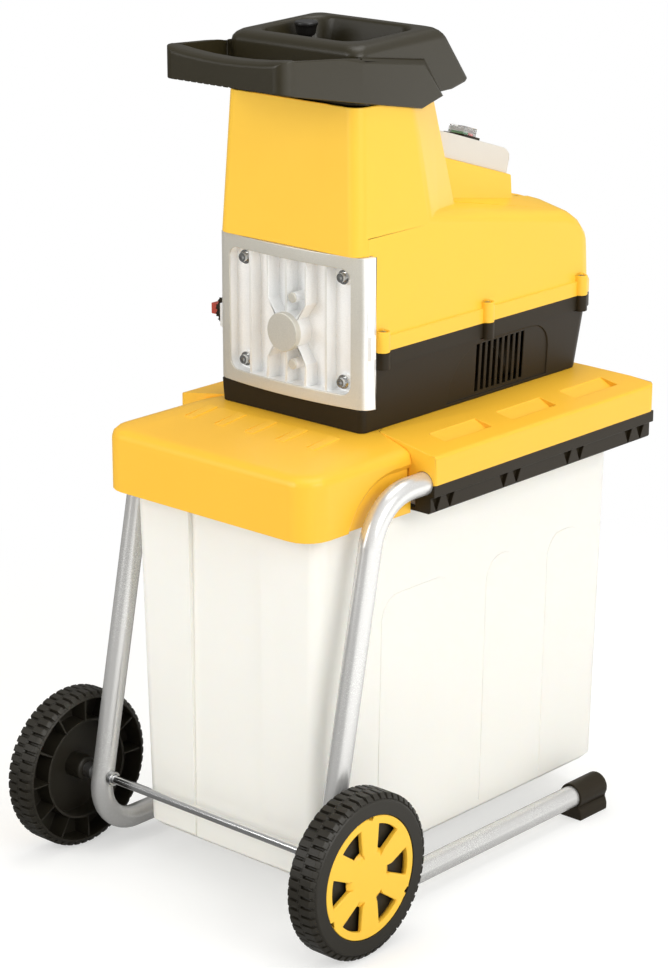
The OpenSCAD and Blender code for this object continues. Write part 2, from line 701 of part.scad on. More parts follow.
module housing_base() color(black) difference() {
    union() {
        difference() {
            loft([base_ring(base_z, 0), base_ring(seam_z, 0)]);
            both_sides() vent_panel();
        }
        seam_band(seam_z - band_h, seam_z);
        seam_bosses(seam_z - boss_low, seam_z, 2 * boss_r);
    }
    difference() {
        loft([base_ring(floor_z, house_wall), base_ring(seam_z + 1, house_wall)]);
        motor_saddle();
    }
    plate_room(plate_z0 - seat, seam_z + 1);
    block(-drop_hw, drop_hw, drop_y0, drop_y1, base_z - 1, floor_z + 1);
    base_bolt_holes(base_z - 1, floor_z + 1, base_bolt_d + 2 * bolt_fit);
    for (i = [0:vents - 1])
        block(-seam_hw - 5, seam_hw + 5, vent_y + i * vent_pitch, vent_y + i * vent_pitch + vent_w,
            base_z + 8, base_z + 61);
    bar_x(knob_y, knob_z, -140, -chamber_hw - chamber_wall - 5, knob_hole_d);
    seam_bosses(seam_z - boss_low + 3, seam_z + 1, house_screw_d + 2 * bolt_fit);
}

// Housing cover: the yellow upper half, a motor bulge and the chimney of the feed chute
cover_y0 = -base_ahead - 6;
bulge_r = 16;
crown_h = 11;
rear_r = 46;
plan_r = 16;
side_draft = (seam_hw - chimney_hw) / (chimney_z - seam_z);
fall = shoulder_fall / (cover_behind - rear_r - 14);
pedestal_hw = switch_hw + 5;

function side_x(z) = seam_hw - side_draft * (z - seam_z);
function bulge_top(y) = shoulder_z - fall * max(0, y - 14)
    - (y > cover_behind - rear_r ? rear_r - sqrt(max(0, rear_r ^ 2 - (y - cover_behind + rear_r) ^ 2)) : 0);
function bulge_in(y) = y > cover_behind - plan_r
    ? plan_r - sqrt(max(0, plan_r ^ 2 - (y - cover_behind + plan_r) ^ 2)) : 0;
function bulge_ring(y, z0, inset) =
    let (top = bulge_top(y) - inset, dx = bulge_in(y) + inset, r = bulge_r - inset,
        wide = side_x(top - r) - dx,
        half = concat([[side_x(z0) - dx, z0]], arc([wide - r, top - r], r, 4, 78, 3),
            [[pedestal_hw - 3, top + crown_h * 0.7], [18, top + crown_h]]))
    [for (p = concat([for (i = [len(half) - 1:-1:0]) half[i]], [for (p = half) [-p.x, p.y]])) [p.x, y, p.y]];
bulge_ys = [cover_y0 + 16, 14, cover_behind - rear_r, cover_behind - 31, cover_behind - 19,
    cover_behind - 10, cover_behind - 4, cover_behind - 1, cover_behind];
module bulge(z0, inset) loft([for (i = [0:len(bulge_ys) - 1])
    let (y = bulge_ys[i], last = len(bulge_ys) - 1, ring = bulge_ring(min(y, cover_behind - 0.2), z0, inset))
    [for (p = ring) [p.x, i == 0 ? y + inset : y - inset * i / last, p.z]]]);

// The chimney leans in on all sides, and long bevels join its side faces to its rear face
front_lean = 0.046;
edge_lean = 0.185;
rear_lean = 0.25;
chimney_edge = -6;
chimney_y1 = 60;
bevel_w = 28;
chimney_low = shoulder_z - 60;
chimney_r = 15;
function chimney_front(z) = cover_y0 + (z - plate_z1) * front_lean;
function chimney_rear(z) = chimney_y1 + (chimney_z - z) * rear_lean;
function chimney_ring(z, inset) =
    let (hw = side_x(z) - 0.3 + 0.6 * (z - chimney_low) / (chimney_z - chimney_low) - inset,
        y0 = chimney_front(z) + inset, r = chimney_r - inset,
        ye = chimney_edge + (chimney_z - z) * edge_lean - inset / 2, yr = chimney_rear(z) - inset,
        right = [[hw, ye - 6], [hw - 2.3, ye + 5.5], [hw - bevel_w + 2.3, yr - 5.5], [hw - bevel_w - 6, yr]])
    at_z(concat(
        arc([r - hw, y0 + r], r, 180, 270, 4), arc([hw - r, y0 + r], r, 270, 360, 4),
        right, [for (i = [3:-1:0]) [-right[i].x, right[i].y]]), z);
// A sunk panel with soft edges in the chimney's front
panel_sunk = 1.4;
function panel_ring(grow, dy) = let (pts = round_rect(50 + grow, chimney_low + 72 - grow, chimney_z + 60, 24 + grow, 18))
    [for (i = [len(pts) - 1:-1:0]) [pts[i].x, chimney_front(pts[i].y) + dy, pts[i].y]];
module chimney_panel() loft([panel_ring(7, -0.3), panel_ring(0, panel_sunk)]);

// A finger scoop in the top of the bulge, near its rear edge
scoop_y = cover_behind - 43;
scoop_z = 713;
scoop_d = 44;
module scoop(grow) bar_x(scoop_y, scoop_z, -46 - grow, 46 + grow, scoop_d + 2 * grow);

// Switch panel frame: u across, v down the slope and w away from it
panel_y = 91;
panel_z = 798;
module on_panel() translate([0, panel_y, panel_z]) rotate([-panel_tilt, 0, 0]) children();
function panel_pt(v, w) = [panel_y + v * cos(panel_tilt) + w * sin(panel_tilt),
    panel_z - v * sin(panel_tilt) + w * cos(panel_tilt)];
switch_l = 128;
pedestal_y1 = panel_pt(switch_l, -switch_t).x + 5;

module pedestal(hw, inset) along_x(-hw, hw) polygon([
    [chimney_y1 - 20, shoulder_z - 60], [chimney_y1 - 20, panel_pt(0, -switch_t - inset).y + 12],
    panel_pt(0, -switch_t - inset), panel_pt(switch_l + 2, -switch_t - inset) - [inset, 0],
    [pedestal_y1 - inset, shoulder_z - 60]]);

module housing_cover() color(yellow) difference() {
    union() {
        difference() {
            union() {
                bulge(seam_z, 0);
                loft([chimney_ring(chimney_low, 0), chimney_ring(chimney_z, 0)]);
                pedestal(pedestal_hw, 0);
                seam_band(seam_z, seam_z + band_h);
                seam_bosses(seam_z, seam_z + boss_high, 2 * boss_r);
            }
            bulge(seam_z - 1, house_wall);
            loft([chimney_ring(chimney_low - 1, house_wall), chimney_ring(chimney_z + 1, house_wall)]);
            pedestal(pedestal_hw - house_wall, house_wall);
            translate([0, 0, seam_z - 1]) linear_extrude(band_h + 2)
                polygon(round_rect(seam_hw - 4, seam_y0 + 4, seam_y1 - 4, front_r, back_r));
        }
        intersection() {
            bulge(seam_z, 0);
            scoop(house_wall);
        }
    }
    scoop(0);
    chimney_panel();
    plate_room(seam_z - 1, plate_z1 + seat);
    bar_x(knob_y, knob_z, -140, -chamber_hw - chamber_wall - 5, knob_hole_d);
    seam_bosses(seam_z - 1, seam_z + boss_high + 1, house_screw_d + 2 * bolt_fit);
    seam_bosses(seam_z + boss_high - 4, seam_z + boss_high + 1, house_screw_d + 5);
    block(-inlet_hw - seat, inlet_hw + seat, pedestal_y1 - 20, pedestal_y1 + 5, inlet_z0 + 3 - seat, inlet_z1 - 3 + seat);
    bar_z(0, panel_pt(62, 0).x, shoulder_z, panel_z, 14);
    for (x = hopper_screw_x) bar_y(x, hopper_screw_z, chimney_y1 - 15, chimney_y1 + 15, house_screw_d + 2 * bolt_fit);
}

module seam_screws() both_sides() for (y = boss_y) {
    bar_z(boss_x, y, seam_z - boss_low + 4, seam_z + boss_high - 3.9, house_screw_d);
    bar_z(boss_x, y, seam_z + boss_high - 3.99, seam_z + boss_high - 0.8, house_screw_d + 4);
}
module housing_screws() color(steel) {
    seam_screws();
    for (x = hopper_screw_x) {
        bar_y(x, hopper_screw_z, chimney_y1 - 12, chimney_y1 + 5, house_screw_d);
        bar_y(x, hopper_screw_z, chimney_y1 + 3.6, chimney_y1 + 6, house_screw_d + 4);
    }
}
module base_bolts() color(steel) both_sides() for (y = base_bolt_y) {
    bar_z(base_bolt_x, y, crown_z - deck_t - 5, crown_z - deck_t - 0.01, base_bolt_d + 5);
    bar_z(base_bolt_x, y, crown_z - deck_t - 1, floor_z + 18, base_bolt_d);
}

// End plate: a die-cast cover with fins round the front bearing's boss
chamber_y0 = plate_y1 - 2;
plate_field_y = plate_y1 - 6;
plate_front_y = plate_y1 - 25;
plate_r = 14;
boss_front_y = plate_front_y - 5;
plate_mid_z = (plate_z0 + plate_z1) / 2;
front_bearing_d = 32;
front_bearing_w = 9;
front_journal_d = 15;
bearing_seat_y = plate_front_y + 2;

function plate_front(x) = plate_front_y + plate_crown * (x / plate_hw) ^ 2;

module plate_plan(hw, back) polygon(concat(
    [for (i = [-6:6]) let (x = (hw - plate_r) * i / 6.2) [x, plate_front(x)]],
    arc([hw - plate_r, plate_front(hw - plate_r) + plate_r], plate_r, -84, 0), [[hw, back], [-hw, back]],
    arc([plate_r - hw, plate_front(hw - plate_r) + plate_r], plate_r, 180, 264)));

// Fins next to the boss turn in to it, and the others run straight down the field
fin_hw = 1.4;
fin_end = (plate_z1 - plate_z0) / 2 - 12;
module fin(x) along_y(plate_front(x) + 2, plate_field_y + 1) translate([x, plate_mid_z])
    if (x != 0 && abs(x) < boss_d) for (s = [-1, 1]) let (z = drum_z - plate_mid_z, in = -sign(x) * 12.5) polygon([
        [-fin_hw, s * fin_end], [-fin_hw, z + s * 32], [in - fin_hw, z + s * 14], [in + fin_hw, z + s * 14],
        [fin_hw, z + s * 32], [fin_hw, s * fin_end]]);
    else translate([-fin_hw, -fin_end]) square([2 * fin_hw, 2 * fin_end]);

module plate_bolts_at() for (sx = [-1, 1]) for (sz = [-1, 1])
    translate([sx * plate_bolt_x, 0, plate_mid_z + sz * plate_bolt_z]) children();

module end_plate() color(steel) difference() {
    union() {
        difference() {
            translate([0, 0, plate_z0]) linear_extrude(plate_z1 - plate_z0) plate_plan(plate_hw, plate_y1);
            along_y(-140, plate_field_y) translate([0, plate_mid_z])
                polygon(round_rect(plate_hw - 20, 14 - (plate_z1 - plate_z0) / 2,
                    (plate_z1 - plate_z0) / 2 - 14, 12, 12));
            block(4 - plate_hw, plate_hw - 4, chamber_y0, plate_y1 + 1, plate_z0 + 4, plate_z1 - 4);
        }
        for (i = [0:fins - 1]) fin((i - (fins - 1) / 2) * fin_pitch);
        bar_y(0, drum_z, boss_front_y, plate_field_y + 1, boss_d);
        for (dz = [-34, 38]) bar_y(10, drum_z + dz, plate_front_y, plate_field_y + 1, 11);
        plate_bolts_at() bar_y(0, 0, plate_field_y - 4, plate_field_y + 1, 16);
        both_sides() block(plate_hw - 6, plate_hw + 2.5, plate_y1 - 11, plate_y1 - 3, drum_z - 16, drum_z + 10);
    }
    block(-chamber_out - seat, chamber_out + seat, chamber_y0, plate_y1 + 1, plate_z0 - 1, plate_mid_z);
    plate_bolts_at() bar_y(0, 0, -140, chamber_y0 + 5, plate_bolt_d + 2 * bolt_fit);
    bar_y(0, drum_z, bearing_seat_y, plate_y1 + 5, front_bearing_d + 0.1);
}
module end_plate_bolts() color("silver") plate_bolts_at() difference() {
    union() {
        bar_y(0, 0, plate_field_y - 10, plate_field_y - 4.01, 1.65 * plate_bolt_d);
        bar_y(0, 0, plate_field_y - 5, chamber_y0 + 18, plate_bolt_d);
    }
    translate([0, plate_field_y - 6.5, 0]) rotate([90, 0, 0]) cylinder(d = 0.9 * plate_bolt_d, h = 6, $fn = 6);
}

// Hopper: body with the feed funnel, side bands that grip the chimney, and a carrying handle
hopper_z0 = chimney_z + 1;
hopper_low_z = hopper_z0 + 7;
chute_y0 = -66;
chute_y1 = 16;
chute_z0 = 690.2;
chute_r = 6;
rim_in = 21;
mouth_r = 24;
handle_y0 = -handle_ahead;
handle_y1 = handle_y0 + handle_d;
handle_z0 = 875;
handle_z1 = 908;
handle_hw = band_hw - 10.5;
handle_r = 17;
band_in = chimney_hw + 1.7;
band_low_z = 838;
band_break = -hopper_ahead + 4;
hopper_screw_x = [-25, 25];
hopper_screw_z = chimney_z - 10;

// The rim is rounded all round and dips a little to the front
rim_r = 12;
rim_dip = 5;
body_front_r = 16;
body_rear_r = 10;
lip = 3;
function hopper_rear(z) = rim_behind
    + (rim_z - 4 - z) * (hopper_behind - rim_behind) / (rim_z - 5 - hopper_low_z);
rim_y1 = hopper_rear(rim_z) - rim_r / 2;
function dipped(pts, z) = let (k = max(0, (z - hopper_low_z) / (rim_z - hopper_low_z)))
    [for (p = pts) [p.x, p.y, z - k * rim_dip * max(0, rim_y1 - p.y) / (rim_y1 + hopper_ahead)]];
function body_ring(z, rear, set_in, inset) = dipped(round_rect(hopper_hw - inset - set_in,
    inset + set_in - hopper_ahead + 4 * max(0, (rim_z - rim_r - z) / (rim_z - rim_r - hopper_z0)),
    rear - inset - set_in / 2, body_front_r - inset, body_rear_r - inset), z);
module hopper_body(inset) loft(concat(
    [body_ring(hopper_z0 + inset, chimney_y1 + 3, 0, inset), body_ring(hopper_low_z - 2 + inset, hopper_behind - 3, 0, inset),
     body_ring(hopper_low_z + 1 + inset, hopper_behind, 0, inset)],
    [for (a = [0:22.5:90]) let (z = rim_z - rim_r * (1 - sin(a)))
        body_ring(z - inset, hopper_rear(z), rim_r * (1 - cos(a)), inset)]));
function chute_ring(grow, z) = at_z(round_rect(chute_hw + grow, chute_y0 - grow, chute_y1 + grow, chute_r, chute_r), z);
function mouth_ring(grow, z) = dipped(round_rect(hopper_hw - rim_in + grow, rim_in - hopper_ahead - grow,
    rim_behind - rim_in + 2 + grow, mouth_r, mouth_r), z);
module funnel(grow, z0) loft([chute_ring(grow, z0), chute_ring(grow, hopper_z0 + 4), mouth_ring(grow, rim_z - lip),
    mouth_ring(grow + lip, rim_z + 1)]);

// Bands and handle are one loop round the hopper: straight beside the chimney, then narrowing to the grip
module grip_plan() difference() {
    polygon(mirrored(concat([[band_hw, chimney_y1], [band_hw, band_break]],
        arc([handle_hw - handle_r, handle_y0 + handle_r], handle_r, 0, -90))));
    polygon(mirrored([[band_in, chimney_y1 + 1], [band_in, band_break + 2],
        [handle_hw - 3.5, handle_y1 - 4], [handle_hw - 8, handle_y1]]));
}
// Side view of the loop: cut draws its upper and rear edges in for the bands' bevel, and the grip's top sags
grip_r = 9;
grip_sag = 5;
grip_bend = 78;
bevel = 4.2;
function grip_ring(x, cut) = let (top = handle_z1 - grip_sag * max(0, 1 - pow(x / grip_bend, 2))) [for (p = concat(
    [[handle_y0 - 1, handle_z0], [5.5, band_low_z], [42.5 - cut, band_low_z + 9],
     [12 - 0.9 * cut, band_low_z + 50 - cut], [-hopper_ahead, band_low_z + 64 - cut]],
    arc([handle_y1 - 5, top - 5], 5, 70, 90, 1),
    arc([handle_y0 + grip_r - 1, top - grip_r], grip_r, 90, 180, 4))) [x, p.x, p.y]];
module grip_solid() loft(concat([grip_ring(-band_hw, bevel), grip_ring(bevel - band_hw, 0)],
    [for (i = [-3:3]) grip_ring(i * grip_bend / 3, 0)],
    [grip_ring(band_hw - bevel, 0), grip_ring(band_hw, bevel)]));
module grip_loop() intersection() {
    translate([0, 0, band_low_z - 1]) linear_extrude(handle_z1) grip_plan();
    grip_solid();
}
module grip_hollow() {
    block(-70, 70, handle_y0 + hopper_wall, handle_y1 - hopper_wall, handle_z0 - 20, handle_z1 - grip_sag - 4);
    for (i = [-7:7]) block(i * 9 - 2, i * 9 + 2, handle_y0 - 2, handle_y1 + 1, handle_z0 - 20, handle_z0 + 0.6);
}
module band_bridge() intersection() {
    block(hopper_hw - 5, band_in + 1, band_break + 2, 45, hopper_z0, rim_z);
    grip_solid();
}
// A tab inside the chimney's rear wall takes the screws
module hopper_tab() along_x(-36, 36) polygon([[chimney_y1 - 11, hopper_z0 + 2], [chimney_y1 - 11, chimney_z - 19],
    [chimney_rear(chimney_z - 19) - house_wall - 0.5, chimney_z - 19], [chimney_rear(chimney_z) - house_wall - 0.5, chimney_z],
    [chimney_rear(chimney_z) - house_wall - 0.5, hopper_z0 + 2]]);

module hopper() color(black) difference() {
    union() {
        difference() {
            hopper_body(0);
            hopper_body(hopper_wall);
        }
        intersection() {
            hopper_body(0);
            funnel(hopper_wall, hopper_z0 - 20);
        }
        difference() {
            grip_loop();
            grip_hollow();
        }
        both_sides() band_bridge();
        hopper_tab();
    }
    funnel(0, hopper_z0 - 1);
    for (x = hopper_screw_x) bar_y(x, hopper_screw_z, chimney_y1 - 20, chimney_y1 + 15, house_screw_d + 2 * bolt_fit);
}
// Chute duct: stands on the chamber's top edge and leads down from the hopper
module chute_duct() color(black) difference() {
    union() {
        loft([chute_ring(hopper_wall, chute_z0), chute_ring(hopper_wall, hopper_z0 - seat)]);
        block(-chamber_out, chamber_out, plate_y1 + 4, chamber_y1 - 0.5, chute_z0, chute_z0 + 3);
    }
    loft([chute_ring(0, chute_z0 - 1), chute_ring(0, hopper_z0)]);
}

// Pusher: a paddle along the chute's left wall with a knob standing in the funnel
pusher_x = -chute_hw + pusher_rod_d / 2 + 1;
pusher_y = -12;
module pusher() color(black) {
    block(-chute_hw + 0.3, -chute_hw + 20.3, pusher_y - 30, pusher_y + 22, chute_z0 + 2, chute_z0 + 50);
    bar_z(pusher_x, pusher_y, chute_z0 + 40, rim_z - 14, pusher_rod_d);
    translate([pusher_x, pusher_y, rim_z - 16]) rotate_extrude()
        polygon([[0, 0], [9, 0], [10, 2], [11.5, 10], [12.5, 11], [12.5, 14], [11.5, 15], [0, 15]]);
}

// Cutting chamber: a cast frame, open at the top, the bottom and the end plate's side
chamber_out = chamber_hw + chamber_wall;
chamber_y1 = 34;
chamber_back = 10;
chamber_z1 = chute_z0 - seat;
rear_bearing_d = 42;
rear_bearing_w = 12;
rear_journal_d = 20;
rear_bearing_y0 = chamber_y1 - 0.5 - rear_bearing_w;
drum_y0 = -68;
drum_y1 = 17;
plate_lo = drum_z - 30;
plate_hi = drum_z + 35;
adjust_z = drum_z - 4;
knob_z = adjust_z;

module chamber_bolt_bosses(d, y1) plate_bolts_at() bar_y(0, 0, chamber_y0, y1, d);

module cutting_chamber() color("#a8abb0") difference() {
    union() {
        both_sides() block(chamber_hw, chamber_out, chamber_y0, chamber_y1, floor_z, chamber_z1);
        block(-chamber_out, chamber_out, chamber_y1 - chamber_back, chamber_y1, floor_z + 30, chamber_z1);
        bar_y(0, drum_z, rear_bearing_y0 - 2, chamber_y1, rear_bearing_d + 12);
        chamber_bolt_bosses(16, chamber_y0 + 24);
        block(drum_d / 2 + 3, chamber_hw + 1, drum_y0, drum_y1, drum_z - 34, drum_z + 30);
        block(-chamber_hw - 1, -drum_d / 2 - 8, drum_y0, drum_y1, plate_lo - 8, plate_lo - 0.3);
        block(-chamber_hw - 1, -drum_d / 2 - 4, drum_y0, drum_y1, plate_hi + 0.3, plate_hi + 8);
    }
    bar_y(0, drum_z, chamber_y0, chamber_y1 + 1, rear_journal_d + 6);
    bar_y(0, drum_z, drum_y0, drum_y1 + 1, drum_d + 3);
    bar_y(0, drum_z, rear_bearing_y0, chamber_y1 + 1, rear_bearing_d + 0.1);
    chamber_bolt_bosses(plate_bolt_d + 2 * bolt_fit, chamber_y0 + 20);
    bar_x(knob_y, adjust_z, -chamber_out - 1, -chamber_hw + 1, adjust_d + 2 * run_fit);
    base_bolt_holes(floor_z - 1, floor_z + 20, base_bolt_d + 2 * bolt_fit);
    through_bolts_at() bar_y(0, 0, chamber_y1 - 7, chamber_y1 + 1, through_bolt_d + 2 * bolt_fit);
}

// Drum: saw-like teeth on a steel roller, keyed to its shaft
shaft_d = 24;
key_w = 6;
module cutter_drum() color("#8d9196") difference() {
    along_y(drum_y0 + 0.5, drum_y1 - 0.5) translate([0, drum_z]) polygon([
        for (i = [0:drum_teeth - 1]) for (s = [[0.82, 0], [1, 0.1], [1, 0.3], [0.86, 0.55]])
            let (a = (i + s[1]) * 360 / drum_teeth, r = s[0] * drum_d / 2) [r * cos(a), r * sin(a)]]);
    bar_y(0, drum_z, drum_y0, drum_y1, shaft_d + 0.1);
    block(-key_w / 2 - 0.05, key_w / 2 + 0.05, drum_y0, drum_y1, drum_z, drum_z + shaft_d / 2 + 3.1);
}
gear_y0 = chamber_y1 + 12;
gear_w = 18;
module cutter_shaft() color("silver") difference() {
    union() {
        bar_y(0, drum_z, bearing_seat_y + 0.5, drum_y0, front_journal_d);
        bar_y(0, drum_z, drum_y0 - 1, drum_y1 + 1, shaft_d);
        bar_y(0, drum_z, drum_y1, gear_y0 - 3, rear_journal_d);
        bar_y(0, drum_z, gear_y0 - 4, gear_y0 + gear_w + 2, rear_journal_d - 2);
    }
    block(-key_w / 2, key_w / 2, drum_y0 + 20, drum_y1 - 20, drum_z + shaft_d / 2 - 3, drum_z + shaft_d);
}
module drum_key() color(steel) block(-key_w / 2, key_w / 2, drum_y0 + 20, drum_y1 - 20,
    drum_z + shaft_d / 2 - 3, drum_z + shaft_d / 2 + 3);
module front_bearing() color(steel) ring_y(0, drum_z, bearing_seat_y + 0.3,
    bearing_seat_y + 0.3 + front_bearing_w, front_bearing_d, front_journal_d + 2 * run_fit);
module rear_bearing() color(steel) ring_y(0, drum_z, rear_bearing_y0, rear_bearing_y0 + rear_bearing_w,
    rear_bearing_d, rear_journal_d + 2 * run_fit);

// Counter plate: its hollow face follows the drum, and the adjusting screw sets its gap
counter_back = -chamber_hw + 4;
module counter_plate() color("#9a9da2") difference() {
    block(counter_back, -drum_d / 2 + 6, drum_y0 + 1, drum_y1 - 1, plate_lo, plate_hi);
    bar_y(0, drum_z, drum_y0 - 1, drum_y1 + 1, drum_d + 2 * cut_gap);
}
knob_in_x = -seam_hw - 11.5;
skirt_l = 10;
grip_l = 12;
module adjusting_screw() color(steel) bar_x(knob_y, adjust_z, knob_in_x, counter_back - 0.2, adjust_d);
module knob_skirt() color(black) difference() {
    bar_x(knob_y, adjust_z, knob_in_x - skirt_l, knob_in_x, knob_d);
    for (i = [0:11]) bar_x(knob_y + knob_d / 2 * cos(30 * i), adjust_z + knob_d / 2 * sin(30 * i),
        knob_in_x - skirt_l - 1, knob_in_x + 1, 4);
}
module knob_grip() color("#a53c28") {
    bar_x(knob_y, adjust_z, knob_in_x - skirt_l - 2, knob_in_x - skirt_l, knob_d * 0.7);
    translate([knob_in_x - skirt_l - grip_l, knob_y - knob_d * 0.34, adjust_z - 6])
        cube([grip_l, knob_d * 0.68, 12]);
}

// Gearbox: two equal stages, out to the intermediate shaft above the axis and back again
gear_gap = gear_m * (pinion_teeth + gear_teeth) / 2;
mid_z = drum_z + gear_gap;
gear_shift = 0.4;
tip_share = 0.9;
backlash = 0.1;
pinion_collar_d = gear_m * (pinion_teeth + 4.4);
box_in_r = gear_m * (gear_teeth / 2 + 1 - gear_shift) + 2.6;
box_out_r = box_in_r + 4;
gearbox_y1 = gear_y0 + gear_w + 28;
stage1_y = gear_y0 + gear_w + 6;
stage1_w = 12;
mid_d = 12;
mid_bearing_d = 28;
mid_bearing_w = 8;
through_x = 56;
through_dz = 35;
motor_r = stator_d / 2 + 4;

module through_bolts_at() for (sx = [-1, 1]) for (sz = [-1, 1])
    translate([sx * through_x, 0, drum_z + sz * through_dz]) children();

// Involute spur gear of n teeth with profile shift x, centred on a gap or a tooth by its turn
function inv_pt(rb, t) = [rb * (cos(t) + t * PI / 180 * sin(t)), rb * (sin(t) - t * PI / 180 * cos(t))];
function spin(p, a) = [p.x * cos(a) - p.y * sin(a), p.x * sin(a) + p.y * cos(a)];
function gear_tooth(n, x) =
    let (press = 20, rp = gear_m * n / 2, rb = rp * cos(press),
        ra = rp + gear_m * (tip_share + x), rf = rp - gear_m * (1.25 - x),
        inv = tan(press) - press * PI / 180,
        half = 90 / n + 2 * x * tan(press) / n * 180 / PI + inv * 180 / PI - backlash / rp * 180 / PI,
        t1 = sqrt((ra / rb) ^ 2 - 1) * 180 / PI,
        t0 = rf > rb ? sqrt((rf / rb) ^ 2 - 1) * 180 / PI : 0,
        flank = [for (i = [0:5]) spin(inv_pt(rb, mix(t0, t1, i / 5)), -half)],
        foot = rf < rb ? [spin([rf, 0], -half)] : [],
        side = concat(foot, flank))
    concat(side, [for (i = [len(side) - 1:-1:0]) [side[i].x, -side[i].y]]);
module gear_flat(n, x, turn) {
    tooth = gear_tooth(n, x);
    polygon([for (i = [0:n - 1]) each [for (p = tooth) spin(p, turn + i * 360 / n)]]);
}
module gear_on(z, y0, y1, n, x, turn) along_y(y0, y1) translate([0, z]) gear_flat(n, x, turn);

module gear_case(r, y0, y1) {
    bar_y(0, drum_z, y0, y1, 2 * r);
    bar_y(0, mid_z, y0, y1, 2 * r);
    block(-r, r, y0, y1, drum_z, mid_z);
}
module gearbox_housing() color("#a8abb0") difference() {
    union() {
        gear_case(box_out_r, chamber_y1, gearbox_y1);
        through_bolts_at() bar_y(0, 0, chamber_y1, gearbox_y1, 14);
        block(-through_x, through_x, chamber_y1, gearbox_y1, drum_z - through_dz - 4, drum_z - through_dz + 4);
    }
    difference() {
        gear_case(box_in_r, chamber_y1 + 6, gearbox_y1 + 1);
        bar_y(0, mid_z, chamber_y1, chamber_y1 + 9, mid_bearing_d + 8);
    }
    bar_y(0, drum_z, chamber_y1 - 1, gear_y0, rear_journal_d + 4);
    bar_y(0, mid_z, chamber_y1 + 1.5, gear_y0, mid_bearing_d + 0.1);
    through_bolts_at() bar_y(0, 0, chamber_y1 - 1, gearbox_y1 + 1, through_bolt_d + 2 * bolt_fit);
}
cover_t = 8;
motor_y0 = gearbox_y1 + cover_t;
motor_bearing_d = 32;
motor_bearing_w = 10;
front_brg_y = motor_y0 - motor_bearing_w;
mid_brg_y = gearbox_y1 + 2.5 - mid_bearing_w;
stator_y0 = motor_y0 + 12;
stator_l = 78;
stator_y1 = stator_y0 + stator_l;
shield_y = stator_y1 + 14;
rear_brg_y = shield_y - 1;
fan_y = shield_y + 16;
shaft_end = fan_y + 20;

module motor_skirt(y0, y1) ring_y(0, drum_z, y0, y1, 2 * motor_r, stator_d + 2 * seat);

module gearbox_cover() color("#a8abb0") difference() {
    union() {
        gear_case(box_out_r, gearbox_y1, motor_y0);
        bar_y(0, drum_z, gearbox_y1, motor_y0, 2 * motor_r);
        bar_y(0, drum_z, front_brg_y - 2, motor_y0, motor_bearing_d + 8);
        bar_y(0, mid_z, mid_brg_y, motor_y0, mid_bearing_d + 8);
        through_bolts_at() bar_y(0, 0, gearbox_y1, motor_y0 + 6, 14);
        motor_skirt(motor_y0 - 1, stator_y0 + 6);
    }
    bar_y(0, drum_z, front_brg_y, motor_y0 + 1, motor_bearing_d + 0.1);
    bar_y(0, drum_z, front_brg_y - 5, motor_y0, motor_shaft_d + 8);
    bar_y(0, mid_z, mid_brg_y - 1, mid_brg_y + mid_bearing_w + 0.5, mid_bearing_d + 0.1);
    bar_y(0, drum_z, motor_y0, stator_y0 + 7, stator_d + 2 * seat);
    through_bolts_at() bar_y(0, 0, gearbox_y1 - 1, motor_y0 + 7, through_bolt_d + 2 * bolt_fit);
}

module output_gear() color("#8d9196") difference() {
    gear_on(drum_z, gear_y0, gear_y0 + gear_w, gear_teeth, -gear_shift, 90 + 180 / gear_teeth);
    bar_y(0, drum_z, gear_y0 - 1, gear_y0 + gear_w + 1, rear_journal_d - 2 + 0.1);
    for (i = [0:5]) translate([0, 0, drum_z]) rotate([0, 60 * i, 0])
        bar_y(26, 0, gear_y0 - 1, gear_y0 + gear_w + 1, 16);
}
module intermediate_shaft() color("silver") {
    r = mid_d / 2;
    collar_r = pinion_collar_d / 2;
    core_r = mid_d / 3;
    a = gear_y0 - 0.4;
    b = gear_y0 + gear_w + 0.4;
    translate([0, 0, mid_z]) rotate([-90, 0, 0]) rotate_extrude() polygon([
        [0, chamber_y1 + 2], [r, chamber_y1 + 2], [r, a - 1.4], [collar_r, a - 1.4], [collar_r, a], [core_r, a],
        [core_r, b], [collar_r, b], [collar_r, b + 2], [r, b + 2], [r, mid_brg_y + mid_bearing_w],
        [0, mid_brg_y + mid_bearing_w]]);
    gear_on(mid_z, a - 0.5, b + 0.5, pinion_teeth, gear_shift, 90);
}
module intermediate_gear() color("#8d9196") difference() {
    gear_on(mid_z, stage1_y, stage1_y + stage1_w, gear_teeth, -gear_shift, 90 + 180 / gear_teeth);
    bar_y(0, mid_z, stage1_y - 1, stage1_y + stage1_w + 1, mid_d + 0.1);
    for (i = [0:5]) translate([0, 0, mid_z]) rotate([0, 60 * i, 0])
        bar_y(26, 0, stage1_y - 1, stage1_y + stage1_w + 1, 16);
}
module intermediate_bearings() color(steel) {
    ring_y(0, mid_z, chamber_y1 + 2, chamber_y1 + 2 + mid_bearing_w, mid_bearing_d, mid_d + 2 * run_fit);
    ring_y(0, mid_z, mid_brg_y, mid_brg_y + mid_bearing_w, mid_bearing_d, mid_d + 2 * run_fit);
}

